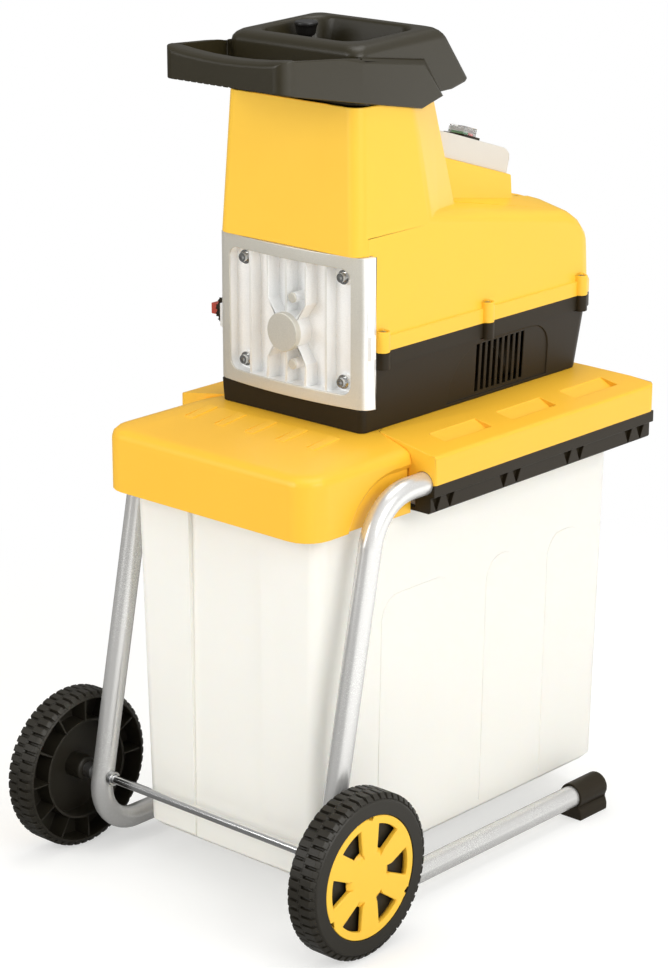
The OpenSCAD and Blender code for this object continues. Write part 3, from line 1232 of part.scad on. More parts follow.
// Motor: rotor on a shaft whose front end is cut as the first pinion
module motor_shaft() color("silver") {
    gear_on(drum_z, stage1_y - 1, stage1_y + stage1_w + 2, pinion_teeth, gear_shift, 90);
    bar_y(0, drum_z, stage1_y + stage1_w + 1, stage1_y + stage1_w + 3, pinion_collar_d);
    bar_y(0, drum_z, stage1_y + stage1_w + 2, shaft_end, motor_shaft_d);
    bar_y(0, drum_z, stator_y0 - 8, stator_y1 + 8, motor_shaft_d + 4);
}
module rotor_core() color("#7d8085")
    ring_y(0, drum_z, stator_y0, stator_y1, rotor_d, motor_shaft_d + 4.1);
module motor_stator() color("#6f7378")
    ring_y(0, drum_z, stator_y0, stator_y1, stator_d, rotor_d + 2 * air_gap);
module motor_windings() color("#b06a35") {
    ring_y(0, drum_z, stator_y0 - 11, stator_y0, stator_d - 6, rotor_d + 8);
    ring_y(0, drum_z, stator_y1, stator_y1 + 12, stator_d - 6, rotor_d + 8);
}
module motor_bearings() color(steel) for (y = [front_brg_y, rear_brg_y])
    ring_y(0, drum_z, y, y + motor_bearing_w, motor_bearing_d, motor_shaft_d + 2 * run_fit);

shield_bolt_y = shield_y + 10;
module motor_rear_shield() color("#a8abb0") difference() {
    union() {
        motor_skirt(stator_y1 - 6, shield_y + 1);
        bar_y(0, drum_z, shield_y, shield_y + 6, 2 * motor_r);
        bar_y(0, drum_z, rear_brg_y - 2, rear_brg_y + motor_bearing_w + 2, motor_bearing_d + 8);
        through_bolts_at() bar_y(0, 0, stator_y1 - 6, shield_bolt_y, 14);
    }
    bar_y(0, drum_z, stator_y1 - 7, shield_y, stator_d + 2 * seat);
    bar_y(0, drum_z, rear_brg_y, rear_brg_y + motor_bearing_w, motor_bearing_d + 0.1);
    bar_y(0, drum_z, stator_y1 - 7, shaft_end, motor_shaft_d + 8);
    through_bolts_at() bar_y(0, 0, stator_y1 - 7, shield_bolt_y + 1, through_bolt_d + 2 * bolt_fit);
}
module cooling_fan() color(black) difference() {
    union() {
        bar_y(0, drum_z, fan_y, fan_y + 3, stator_d - 8);
        bar_y(0, drum_z, fan_y, fan_y + 16, 26);
        for (i = [0:8]) translate([0, 0, drum_z]) rotate([0, 40 * i, 0]) block(10, stator_d / 2 - 5, fan_y,
            fan_y + 16, -1.2, 1.2);
    }
    bar_y(0, drum_z, fan_y - 1, fan_y + 20, motor_shaft_d + 0.1);
}
module through_bolts() color(steel) through_bolts_at() {
    bar_y(0, 0, chamber_y1 - 6, shield_bolt_y + 1, through_bolt_d);
    bar_y(0, 0, shield_bolt_y + 0.01, shield_bolt_y + 4, through_bolt_d + 4);
}
capacitor_d = 40;
module capacitor() color("#c9ccd0") {
    bar_y(70, floor_z + capacitor_d / 2 + 0.3, 150, 222, capacitor_d);
    bar_y(70, floor_z + capacitor_d / 2 + 0.3, 222, 226, 12);
}

// Switch box: a light grey shell on the pedestal, with two switches on its sloping panel
switch_wall = 2.5;
plate_t = 3;
plate_u = 16;
plate_v = 46;
module switch_outline(inset) {
    end = switch_l - inset;
    polygon(concat(
        [[inset, inset - switch_t + 0.05], [end + 2, inset - switch_t + 0.05]],
        arc([end - 14, -14 - inset], 14, 20, 90, 4), [[inset, -inset]]));
}
module panel_extrude(u0, u1) translate([u0, 0, 0]) rotate([90, 0, 90]) linear_extrude(u1 - u0) children();
module panel_block(u0, u1, v0, v1, w0, w1) translate([u0, v0, w0]) cube([u1 - u0, v1 - v0, w1 - w0]);

hole_in = 4;
reset_u = -30;
reset_v = 24;
module switch_shell(inset) intersection() {
    panel_extrude(inset - switch_hw, switch_hw - inset) switch_outline(inset);
    translate([0, 0, -2 * switch_t]) linear_extrude(3 * switch_t)
        polygon(round_rect(switch_hw - inset, inset, switch_l + 3 - inset, 22 - inset, 6 - inset));
}
module switch_box() color("#e4e0d8") on_panel() difference() {
    switch_shell(0);
    switch_shell(switch_wall);
    for (u = [plate_u, -plate_u - switch_plate_w])
        panel_block(u + hole_in, u + switch_plate_w - hole_in, plate_v + hole_in,
            plate_v + switch_plate_w - hole_in, -10, 1);
    translate([reset_u, reset_v, -10]) cylinder(d = 10, h = 12);
    translate([0, 62, -switch_t - 1]) cylinder(d = 12, h = 6);
}

// Both plates sit on the panel: the right one carries start and stop, the left one the direction rocker
module plate_frame(u) difference() {
    panel_block(u, u + switch_plate_w, plate_v, plate_v + switch_plate_w, 0, plate_t);
    panel_block(u + hole_in + 1.5, u + switch_plate_w - hole_in - 1.5, plate_v + hole_in + 1.5,
        plate_v + switch_plate_w - hole_in - 1.5, -1, plate_t + 1);
}
module plate_well(u) difference() {
    panel_block(u + hole_in + seat, u + switch_plate_w - hole_in - seat, plate_v + hole_in + seat,
        plate_v + switch_plate_w - hole_in - seat, -9, 1);
    panel_block(u + hole_in + 1.5, u + switch_plate_w - hole_in - 1.5, plate_v + hole_in + 1.5,
        plate_v + switch_plate_w - hole_in - 1.5, -7, 2);
}
module switch_plate() color(black) on_panel() for (u = [plate_u, -plate_u - switch_plate_w]) {
    plate_frame(u);
    plate_well(u);
}

button_u0 = plate_u + hole_in + 2;
button_u1 = plate_u + switch_plate_w - hole_in - 2;
button_mid = plate_v + switch_plate_w / 2;
button_l = switch_plate_w / 2 - hole_in - 2.3;
button_top = plate_t + 3;
module button(v0) panel_block(button_u0, button_u1, v0, v0 + button_l, button_travel - 6.7, button_top);
module start_button() color("#3f8f4f") on_panel() button(button_mid - 0.3 - button_l);
module stop_button() color("#c8372c") on_panel() button(button_mid + 0.3);

guard_in = 3.5;
module switch_guard() color([0.95, 0.95, 0.92, 0.4]) on_panel() difference() {
    u0 = plate_u + guard_in;
    u1 = plate_u + switch_plate_w - guard_in;
    v0 = plate_v + guard_in;
    v1 = plate_v + switch_plate_w - guard_in;
    panel_block(u0, u1, v0, v1, plate_t + 0.05, plate_t + guard_h);
    panel_block(u0 + 1.2, u1 - 1.2, v0 + 1.2, v1 - 1.2, plate_t - 1, plate_t + guard_h - 1.2);
}

// Direction rocker: tips to either side about a pin across the left plate
rocker_v = plate_v + switch_plate_w / 2;
module direction_rocker() color("#1f1d1a") on_panel() translate([0, rocker_v, 0])
    panel_extrude(-plate_u - switch_plate_w + hole_in + 2, -plate_u - hole_in - 2) polygon([
        [-8, -1.5], [8, -1.5], [8, plate_t + 3], [0, plate_t + 1.2], [-8, plate_t + 3]]);
module reset_button() color(black) on_panel() translate([reset_u, reset_v, 0]) {
    translate([0, 0, -switch_wall - 2.2]) cylinder(d = 14, h = 2);
    translate([0, 0, -switch_wall - 1]) cylinder(d = 9.4, h = switch_wall + 3.5);
}

// Power inlet: a sunk plug on the pedestal's rear face, under the switch box
inlet_hw = 13;
inlet_z0 = bulge_top(pedestal_y1) + crown_h + 2;
inlet_z1 = panel_pt(switch_l, -switch_t).y - 2;
module power_inlet() color(black) difference() {
    union() {
        block(-inlet_hw - 4, inlet_hw + 4, pedestal_y1 + 0.05, pedestal_y1 + 3, inlet_z0, inlet_z1);
        block(-inlet_hw, inlet_hw, pedestal_y1 - 9, pedestal_y1 + 12, inlet_z0 + 3, inlet_z1 - 3);
    }
    block(-inlet_hw + 2, inlet_hw - 2, pedestal_y1 + 1, pedestal_y1 + 13, inlet_z0 + 5, inlet_z1 - 5);
}

frame_tube_left();
frame_tube_right();
foot_left();
foot_right();
wheel_axle();
axle_collars();
axle_retainers();
wheel_left();
wheel_right();
hubcap_left();
hubcap_right();
deck();
rail_left();
rail_right();
frame_bolts();
interlock_switch();
collection_box();
box_latch();
housing_base();
housing_cover();
housing_screws();
base_bolts();
end_plate();
end_plate_bolts();
hopper();
chute_duct();
pusher();
cutting_chamber();
cutter_drum();
cutter_shaft();
drum_key();
front_bearing();
rear_bearing();
counter_plate();
adjusting_screw();
knob_skirt();
knob_grip();
gearbox_housing();
gearbox_cover();
output_gear();
intermediate_shaft();
intermediate_gear();
intermediate_bearings();
motor_shaft();
rotor_core();
motor_stator();
motor_windings();
motor_bearings();
motor_rear_shield();
cooling_fan();
through_bolts();
capacitor();
switch_box();
switch_plate();
start_button();
stop_button();
switch_guard();
direction_rocker();
reset_button();
power_inlet();
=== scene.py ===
import json
import math

import bmesh
import bpy
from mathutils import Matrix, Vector
from mathutils.bvhtree import BVHTree

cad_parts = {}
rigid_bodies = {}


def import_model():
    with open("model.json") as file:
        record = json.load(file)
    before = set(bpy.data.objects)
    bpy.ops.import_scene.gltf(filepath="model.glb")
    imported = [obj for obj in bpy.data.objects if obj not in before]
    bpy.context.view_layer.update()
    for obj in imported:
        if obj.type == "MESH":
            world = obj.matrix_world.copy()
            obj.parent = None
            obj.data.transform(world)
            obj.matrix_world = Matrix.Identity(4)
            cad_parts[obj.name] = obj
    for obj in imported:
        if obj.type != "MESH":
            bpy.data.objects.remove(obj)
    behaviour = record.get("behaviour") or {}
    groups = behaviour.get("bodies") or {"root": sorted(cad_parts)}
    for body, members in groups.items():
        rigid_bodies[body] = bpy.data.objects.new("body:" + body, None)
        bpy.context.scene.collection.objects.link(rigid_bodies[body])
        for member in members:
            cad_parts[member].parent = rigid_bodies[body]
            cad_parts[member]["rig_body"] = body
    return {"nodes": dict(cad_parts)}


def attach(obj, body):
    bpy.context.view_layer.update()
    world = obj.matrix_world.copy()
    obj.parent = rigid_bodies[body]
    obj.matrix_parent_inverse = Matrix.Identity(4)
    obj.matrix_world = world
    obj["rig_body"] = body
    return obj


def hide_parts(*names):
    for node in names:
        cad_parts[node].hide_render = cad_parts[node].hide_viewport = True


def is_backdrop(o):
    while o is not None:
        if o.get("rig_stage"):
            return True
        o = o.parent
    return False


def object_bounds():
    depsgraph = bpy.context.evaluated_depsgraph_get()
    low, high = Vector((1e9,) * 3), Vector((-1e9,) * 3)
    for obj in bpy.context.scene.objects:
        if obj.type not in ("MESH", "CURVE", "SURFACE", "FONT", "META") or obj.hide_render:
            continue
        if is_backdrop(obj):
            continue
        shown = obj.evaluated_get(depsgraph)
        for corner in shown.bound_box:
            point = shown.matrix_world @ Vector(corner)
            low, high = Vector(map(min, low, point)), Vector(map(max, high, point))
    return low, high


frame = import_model()
cad_low, cad_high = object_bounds()
solids = frame["nodes"]
scene = bpy.context.scene

# Studio
# The camera stands at the wheel end, a little above the hopper's height. Soft boxes light the
# machine from the right, the front and above, and it stands on a pale floor.
eye = Vector((1.9943, -2.2334, 1.3631))
aim = Vector((0.02465, -0.051, 0.4302))
shot = bpy.data.cameras.new("shot")
shot.lens = 106.6
shot.clip_end = 100
camera = bpy.data.objects.new("camera", shot)
camera.location = eye
camera.rotation_euler = (aim - eye).to_track_quat("-Z", "Y").to_euler()
scene.collection.objects.link(camera)
scene.camera = camera
scene.view_settings.view_transform = "Standard"
lamp_aim = Vector((0, 0, 0.5))


def softbox(name, place, size, power):
    lamp = bpy.data.lights.new(name, "AREA")
    lamp.shape = "DISK"
    lamp.size = size
    lamp.energy = power
    holder = bpy.data.objects.new(name, lamp)
    holder.location = place
    toward = lamp_aim - holder.location
    holder.rotation_euler = toward.to_track_quat("-Z", "Y").to_euler()
    scene.collection.objects.link(holder)


softbox("right_box", place=(3.0, -0.5, 1.9), size=2.2, power=50)
softbox("front_box", place=(-1.2, -3.0, 1.6), size=2.0, power=40)
softbox("top_box", place=(0.2, 0.6, 3.6), size=2.4, power=37)


class Wire:
    """One value in a node tree. Arithmetic on it adds Math nodes, and add() makes any other node."""

    def __init__(self, tree, socket=None):
        self.tree = tree
        self.socket = socket

    def add(self, kind, settings=None, links=None, out=0):
        made = self.tree.nodes.new(kind)
        for key, value in (settings or {}).items():
            setattr(made, key, value)
        for key, value in (links or {}).items():
            if isinstance(value, Wire):
                self.tree.links.new(value.socket, made.inputs[key])
            else:
                made.inputs[key].default_value = value
        return Wire(self.tree, made.outputs[out] if made.outputs else None)

    def maths(self, operation, first, second):
        return self.add("ShaderNodeMath", {"operation": operation}, {0: first, 1: second})

    def __add__(self, other):
        return self.maths("ADD", self, other)

    def __sub__(self, other):
        return self.maths("SUBTRACT", self, other)

    def __mul__(self, other):
        return self.maths("MULTIPLY", self, other)

    def __truediv__(self, other):
        return self.maths("DIVIDE", self, other)

    def __pow__(self, other):
        return self.maths("POWER", self, other)

    def __rsub__(self, other):
        return self.maths("SUBTRACT", other, self)

    __radd__ = __add__

    def limit(self, low, high, to_low=0.0, to_high=1.0):
        ends = {"From Min": low, "From Max": high, "To Min": to_low, "To Max": to_high}
        return self.add("ShaderNodeMapRange", {"interpolation_type": "SMOOTHSTEP"}, {"Value": self, **ends})

    def between(self, first, second):
        return self.add("ShaderNodeMix", {"data_type": "RGBA"}, {0: self, 6: first, 7: second}, out=2)

    def noise(self, scale, detail):
        return self.add("ShaderNodeTexNoise", None, {"Vector": self, "Scale": scale, "Detail": detail})

    def part(self, axis):
        return self.add("ShaderNodeSeparateXYZ", None, {0: self}, out=axis)

    def stretched(self, scale):
        return self.add("ShaderNodeMapping", None, {"Vector": self, "Scale": scale})


def begin(name):
    material = bpy.data.materials.new(name)
    material.use_nodes = True
    material.node_tree.nodes.clear()
    place = Wire(material.node_tree).add("ShaderNodeTexCoord", out="Object")
    return material, place


def close(place, surface):
    place.add("ShaderNodeOutputMaterial", None, {"Surface": surface})


def rgb(colour, share=1.0):
    return (colour[0] * share, colour[1] * share, colour[2] * share, 1.0)


pale = (0.93, 0.93, 0.92)
floor_half = 30
fade_start, fade_end = 0.2, 1.4
floor_finish, spot = begin("pale_floor")
kinds = ("Camera", "Transmission", "Glossy")
rays = {kind: spot.add("ShaderNodeLightPath", out="Is %s Ray" % kind) for kind in kinds}
plain = spot.add("ShaderNodeBsdfDiffuse", None, {"Color": rgb(pale, 0.9)})
lit = spot.add("ShaderNodeBsdfDiffuse", None, {"Color": rgb(pale, 0.62)})
glow = spot.add("ShaderNodeEmission", None, {"Color": rgb(pale), "Strength": 0.52})
near = spot.add("ShaderNodeAddShader", None, {0: lit, 1: glow})
white = spot.add("ShaderNodeEmission", None, {"Color": (1, 1, 1, 1), "Strength": 1.0})
away = (spot.part("X") ** 2.0 + spot.part("Y") ** 2.0).limit(fade_start, fade_end)
shown = spot.add("ShaderNodeMixShader", None, {0: away, 1: near, 2: white})
dim = spot.add("ShaderNodeEmission", None, {"Color": rgb(pale), "Strength": 0.2})
bright = spot.add("ShaderNodeEmission", None, {"Color": rgb(pale), "Strength": 1.9})
side = (spot.part("X") * 0.8 + spot.part("Y") * 0.4).limit(-0.2, 1.1)
mirrored = spot.add("ShaderNodeMixShader", None, {0: side, 1: dim, 2: bright})
seen = (rays["Camera"] + rays["Transmission"]).limit(0.0, 1.0)
mixed = spot.add("ShaderNodeMixShader", None, {0: seen, 1: plain, 2: shown})
close(spot, spot.add("ShaderNodeMixShader", None, {0: rays["Glossy"], 1: mixed, 2: mirrored}))
floor_mesh = bpy.data.meshes.new("floor")
corners = [(x * floor_half, y * floor_half, 0) for x, y in ((-1, -1), (1, -1), (1, 1), (-1, 1))]
floor_mesh.from_pydata(corners, [], [(0, 1, 2, 3)])
floor_mesh.materials.append(floor_finish)
floor = bpy.data.objects.new("floor", floor_mesh)
scene.collection.objects.link(floor)
floor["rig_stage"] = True

sky = bpy.data.worlds.new("studio")
sky.use_nodes = True
sky.node_tree.nodes.clear()
air = Wire(sky.node_tree)
looks = [air.add("ShaderNodeLightPath", out=ray) for ray in ("Is Camera Ray", "Is Transmission Ray")]
seen = (looks[0] + looks[1]).limit(0.0, 1.0)
mirrored = air.add("ShaderNodeLightPath", out="Is Glossy Ray")
toward = air.add("ShaderNodeTexCoord", out="Generated")
across = toward.part("X").limit(-0.5, 0.9, 0.22, 0.95)
above = toward.part("Z").limit(0.1, 1.0, 0.0, 0.3)
around = air.add("ShaderNodeBackground", None, {"Color": (1, 0.99, 0.97, 1), "Strength": 0.56})
walls = air.add("ShaderNodeBackground", None, {"Color": (1, 1, 1, 1), "Strength": across + above})
white = air.add("ShaderNodeBackground", None, {"Color": (1, 1, 1, 1), "Strength": 1.0})
mixed = air.add("ShaderNodeMixShader", None, {0: mirrored, 1: around, 2: walls})
mixed = air.add("ShaderNodeMixShader", None, {0: seen, 1: mixed, 2: white})
air.add("ShaderNodeOutputWorld", None, {"Surface": mixed})
scene.world = sky

# Frame tubes
# Two bent steel tubes, each with an upper end between deck and rail, a leaning leg and a run on
# the ground. They are powder coated in silver grey, with a fine flake in the coat.
weld = 2e-5
merge_angle = math.radians(0.5)
flat_angle = math.radians(0.4)
sharp_angle = math.radians(32)
smooth_angle = math.radians(38)
curve_angle = math.radians(140)
long_share, short_share = 3.0, 0.3
thrown_share = 0.6


def dress(material, *names):
    for name in names:
        solids[name].data.materials.clear()
        solids[name].data.materials.append(material)


def rounded_edges(form, edge):
    """The sharp edges that can be rounded: long ones, and short ones within a smooth curve."""
    sharp = {
        e for e in form.edges
        if len(e.link_faces) == 2 and e.calc_face_angle(0) > sharp_angle
    }

    def flows(vert):
        meet = [e.other_vert(vert).co - vert.co for e in vert.link_edges if e in sharp]
        return len(meet) == 2 and meet[0].angle(meet[1], 0) > curve_angle

    return [
        e for e in sharp
        if e.calc_length() > long_share * edge
        or (e.calc_length() > short_share * edge and all(flows(v) for v in e.verts))
    ]


def flat_areas(form):
    """The area of the flat region that each face belongs to."""
    area = {}
    for first in form.faces:
        if first in area:
            continue
        region = [first]
        found = {first}
        while region:
            face = region.pop()
            for e in face.edges:
                if len(e.link_faces) == 2 and e.calc_face_angle(0) < flat_angle:
                    fresh = [f for f in e.link_faces if f not in found]
                    found.update(fresh)
                    region.extend(fresh)
        total = sum(f.calc_area() for f in found)
        area.update((f, total) for f in found)
    return area


def corner_normals(form):
    """A normal for each face corner, from the faces that meet smoothly there, weighed by area."""
    area = flat_areas(form)
    normals = []
    for face in form.faces:
        for loop in face.loops:
            near = [face]
            found = {face}
            while near:
                for e in near.pop().edges:
                    if loop.vert not in e.verts or len(e.link_faces) != 2:
                        continue
                    if e.calc_face_angle(0) < smooth_angle:
                        fresh = [f for f in e.link_faces if f not in found]
                        found.update(fresh)
                        near.extend(fresh)
            mean = Vector((0, 0, 0))
            for f in found:
                mean += f.normal * area[f]
            normals.append(mean.normalized())
    return normals


def settle(form, surface, reach):
    """Puts corners that a rounding threw off the solid's own surface back on it."""
    for vert in form.verts:
        place, _, _, gap = surface.find_nearest(vert.co)
        if gap > reach:
            vert.co = place


def shaped(node, name, material, edge=0.0, steps=2):
    """Stands in for a solid: a copy with its sharp edges rounded and its curves shaded smooth."""
    form = bmesh.new()
    form.from_mesh(solids[node].data)
    bmesh.ops.remove_doubles(form, verts=form.verts, dist=weld)
    bmesh.ops.dissolve_limit(form, angle_limit=merge_angle, verts=form.verts, edges=form.edges)
    bmesh.ops.connect_verts_concave(form, faces=form.faces)
    if edge > 0:
        surface = BVHTree.FromBMesh(form)
        bmesh.ops.bevel(
            form, geom=rounded_edges(form, edge), offset=edge, offset_type="OFFSET",
            segments=steps, profile=0.5, affect="EDGES", clamp_overlap=False, loop_slide=True,
        )
        settle(form, surface, thrown_share * edge)
    form.normal_update()
    for face in form.faces:
        face.smooth = True
    normals = corner_normals(form)
    mesh = bpy.data.meshes.new(name)
    form.to_mesh(mesh)
    form.free()
    mesh.set_sharp_from_angle(angle=smooth_angle)
    mesh.normals_split_custom_set(normals)
    mesh.materials.append(material)
    piece = bpy.data.objects.new(name, mesh)
    scene.collection.objects.link(piece)
    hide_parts(node)
    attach(piece, solids[node]["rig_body"])


def metal(name, colour, rough, cell, depth, drift=0.08, metallic=1.0, streak=(1, 1, 1)):
    material, place = begin(name)
    grain = place.stretched(streak).noise(cell, 3)
    broad = place.noise(11, 3)
    tone = (grain * 0.5 + broad * 0.5).between(rgb(colour, 1 - drift), rgb(colour, 1 + drift))
    relief = place.add("ShaderNodeBump", None, {"Strength": depth, "Distance": 0.0002, "Height": grain})
    look = {
        "Base Color": tone,
        "Metallic": metallic,
        "Roughness": rough + (grain - 0.5) * 0.16 + (broad - 0.5) * 0.08,
        "Normal": relief,
    }
    close(place, place.add("ShaderNodeBsdfPrincipled", None, look))
    return material


tube_coat = metal(
    "tube_coat", (0.69, 0.685, 0.67), 0.25, cell=1800, depth=0.02, drift=0.03, metallic=0.55
)
shaped("frame_tube_left", "tube_left", tube_coat)
shaped("frame_tube_right", "tube_right", tube_coat)

# Feet
# Black mouldings pressed over the lower tube ends. Each has a round top and a square block that
# stands on the ground.


def moulding(name, colour, rough, grain, cell=1300, drift=0.06, clear=0.0, shine=0.5):
    material, place = begin(name)
    fine = place.noise(cell, 2)
    broad = place.noise(8, 3)
    tone = (fine * 0.35 + broad * 0.65).between(rgb(colour, 1 - drift), rgb(colour, 1 + drift))
    relief = place.add("ShaderNodeBump", None, {"Strength": grain, "Distance": 0.00015, "Height": fine})
    look = {
        "Base Color": tone,
        "Roughness": rough + (fine - 0.5) * 0.14 + (broad - 0.5) * 0.12,
        "Coat Weight": clear,
        "Specular IOR Level": shine,
        "Normal": relief,
    }
    close(place, place.add("ShaderNodeBsdfPrincipled", None, look))
    return material


black_moulding = moulding("black_moulding", (0.022, 0.016, 0.008), 0.44, grain=0.4, shine=0.16)
shaped("foot_left", "foot_cap_left", black_moulding, edge=0.0015)
shaped("foot_right", "foot_cap_right", black_moulding, edge=0.0015)

# Axle
# A bright plated rod through both tubes, with spacer collars beside each tube and a push-on
# retainer inside each hub cap.
plated = metal(
    "plated_rod", (0.78, 0.78, 0.77), 0.16, cell=500, depth=0.04, drift=0.04, streak=(0.05, 1, 1)
)
plain_steel = metal("plain_steel", (0.56, 0.56, 0.56), 0.34, cell=900, depth=0.1)
shaped("wheel_axle", "axle_rod", plated, edge=0.0006)
shaped("axle_collars", "axle_spacers", plain_steel, edge=0.0005)
dress(plain_steel, "axle_retainers")

# Wheels
# Each wheel is one black moulding: hub, web, ribs and a chunky tread. A yellow cap with six
# spokes is clipped into its outer face.
tyre_moulding = moulding(
    "tyre_moulding", (0.019, 0.016, 0.01), 0.46, grain=0.5, cell=900, drift=0.1, shine=0.38
)
sun_yellow = moulding(
    "sun_yellow", (1.0, 0.6, 0.052), 0.36, grain=0.22, cell=1500, drift=0.03, shine=0.4
)
shaped("wheel_left", "wheel_body_left", tyre_moulding, edge=0.0009)
shaped("wheel_right", "wheel_body_right", tyre_moulding, edge=0.0009)
shaped("hubcap_left", "spoke_cap_left", sun_yellow, edge=0.0014)
shaped("hubcap_right", "spoke_cap_right", sun_yellow, edge=0.0014)

# Deck
# A crowned moulding that closes the frame at the top. It has a deep skirt at the wheel end, finger
# ribs, and a hollow flange with pockets along each side.
deck_yellow = moulding(
    "deck_yellow", (1.0, 0.56, 0.04), 0.38, grain=0.25, cell=1400, drift=0.03, shine=0.4
)
shaped("deck", "deck_shell", deck_yellow, edge=0.0012)

# Rails
# Black channels bolted under the deck's flanges from below. They clamp the tubes and carry the
# collection box on an inner ledge.
shaped("rail_left", "rail_channel_left", black_moulding, edge=0.0008)
shaped("rail_right", "rail_channel_right", black_moulding, edge=0.0008)
dress(plain_steel, "frame_bolts")

# Collection box
# A thin milky tub blown in one piece, with raised panels along its sides, a lip that runs on the
# rails and a red latch on its rear wall.


def milky(name, colour):
    material, place = begin(name)
    fine = place.noise(420, 2)
    broad = place.stretched((1, 1, 0.35)).noise(6, 2)
    tone = broad.between(rgb(colour, 0.97), rgb(colour, 1.02))
    relief = place.add("ShaderNodeBump", None, {"Strength": 0.1, "Distance": 0.0003, "Height": fine})
    look = {
        "Base Color": tone,
        "Roughness": 0.36 + (fine - 0.5) * 0.1 + (broad - 0.5) * 0.12,
        "Subsurface Weight": 0.25,
        "Subsurface Radius": (0.012, 0.01, 0.008),
        "Normal": relief,
    }
    close(place, place.add("ShaderNodeBsdfPrincipled", None, look))
    return material


tub_milk = milky("tub_milk", (0.965, 0.945, 0.875))
latch_red = moulding("latch_red", (0.42, 0.055, 0.03), 0.4, grain=0.25)
shaped("collection_box", "tub", tub_milk, edge=0.00048)
shaped("box_latch", "latch_slider", latch_red, edge=0.0007)
dress(black_moulding, "interlock_switch")

# Housing base
# The black lower half of the housing, with vent slots in both sides and a floor that is bolted
# down through the deck.
shaped("housing_base", "base_shell", black_moulding, edge=0.001)
dress(plain_steel, "base_bolts")

# Cutting gear
# A toothed steel drum turns in a cast frame, against a hollow counter plate. Plain rings stand
# for the ball bearings that carry its keyed shaft.
raw_casting = metal(
    "raw_casting", (0.26, 0.265, 0.27), 0.6, cell=420, depth=0.5, drift=0.14, metallic=0.8
)
cutter_steel = metal(
    "cutter_steel", (0.5, 0.5, 0.5), 0.3, cell=500, depth=0.2, drift=0.12, streak=(1, 0.1, 1)
)
bright_steel = metal("bright_steel", (0.7, 0.7, 0.69), 0.22, cell=700, depth=0.08, drift=0.06)
dress(raw_casting, "cutting_chamber")
dress(cutter_steel, "cutter_drum", "counter_plate")
dress(bright_steel, "cutter_shaft", "drum_key", "front_bearing", "rear_bearing", "adjusting_screw")

# Gearbox and motor
# Two gear stages in an alloy case stand between the drum and an induction motor, whose fan draws
# air through the vent slots.
bare_alloy = metal("bare_alloy", (0.62, 0.625, 0.63), 0.46, cell=600, depth=0.3, drift=0.08)
core_sheets = metal(
    "core_sheets", (0.22, 0.225, 0.23), 0.5, cell=900, depth=0.4, drift=0.2, streak=(0.05, 1, 0.05)
)
wire_copper = metal(
    "wire_copper", (0.55, 0.25, 0.09), 0.38, cell=500, depth=0.5, drift=0.25, streak=(1, 0.2, 1)
)
dress(bare_alloy, "gearbox_housing", "gearbox_cover")
dress(raw_casting, "motor_rear_shield")
dress(bright_steel, "output_gear", "intermediate_shaft", "intermediate_gear", "intermediate_bearings")
dress(bright_steel, "motor_shaft", "motor_bearings")
dress(plain_steel, "through_bolts")
dress(core_sheets, "rotor_core", "motor_stator")
dress(wire_copper, "motor_windings")
dress(black_moulding, "cooling_fan", "capacitor")

# Housing cover
# The yellow upper half: a long bulge over the motor, a finger scoop in its top, and the chimney
# of the feed chute. Cross-head screws stand in bosses along the seam and behind the chimney.
grown_sharp_angle = math.radians(35)


def islands(node):
    """The box of each loose solid in a CAD node, as lowest and highest corners."""
    form = bmesh.new()
    form.from_mesh(solids[node].data)
    bmesh.ops.remove_doubles(form, verts=form.verts, dist=weld)
    left = set(form.verts)
    boxes = []
    while left:
        group = {left.pop()}
        edge_of = set(group)
        while edge_of:
            edge_of = {e.other_vert(v) for v in edge_of for e in v.link_edges} & left
            left -= edge_of
            group |= edge_of
        spots = [v.co for v in group]
        boxes.append([Vector(pick(p[i] for p in spots) for i in range(3)) for pick in (min, max)])
    form.free()
    return boxes


def seats(name, places):
    """Points for a tree: each has a place, the way its screw faces and the reach of its shank."""
    mesh = bpy.data.meshes.new(name)
    mesh.from_pydata([place for place, _, _ in places], [], [])
    mesh.attributes.new("facing", "FLOAT_VECTOR", "POINT")
    mesh.attributes.new("reach", "FLOAT", "POINT")
    for i, (_, direction, shank) in enumerate(places):
        mesh.attributes["facing"].data[i].vector = direction
        mesh.attributes["reach"].data[i].value = shank
    return mesh


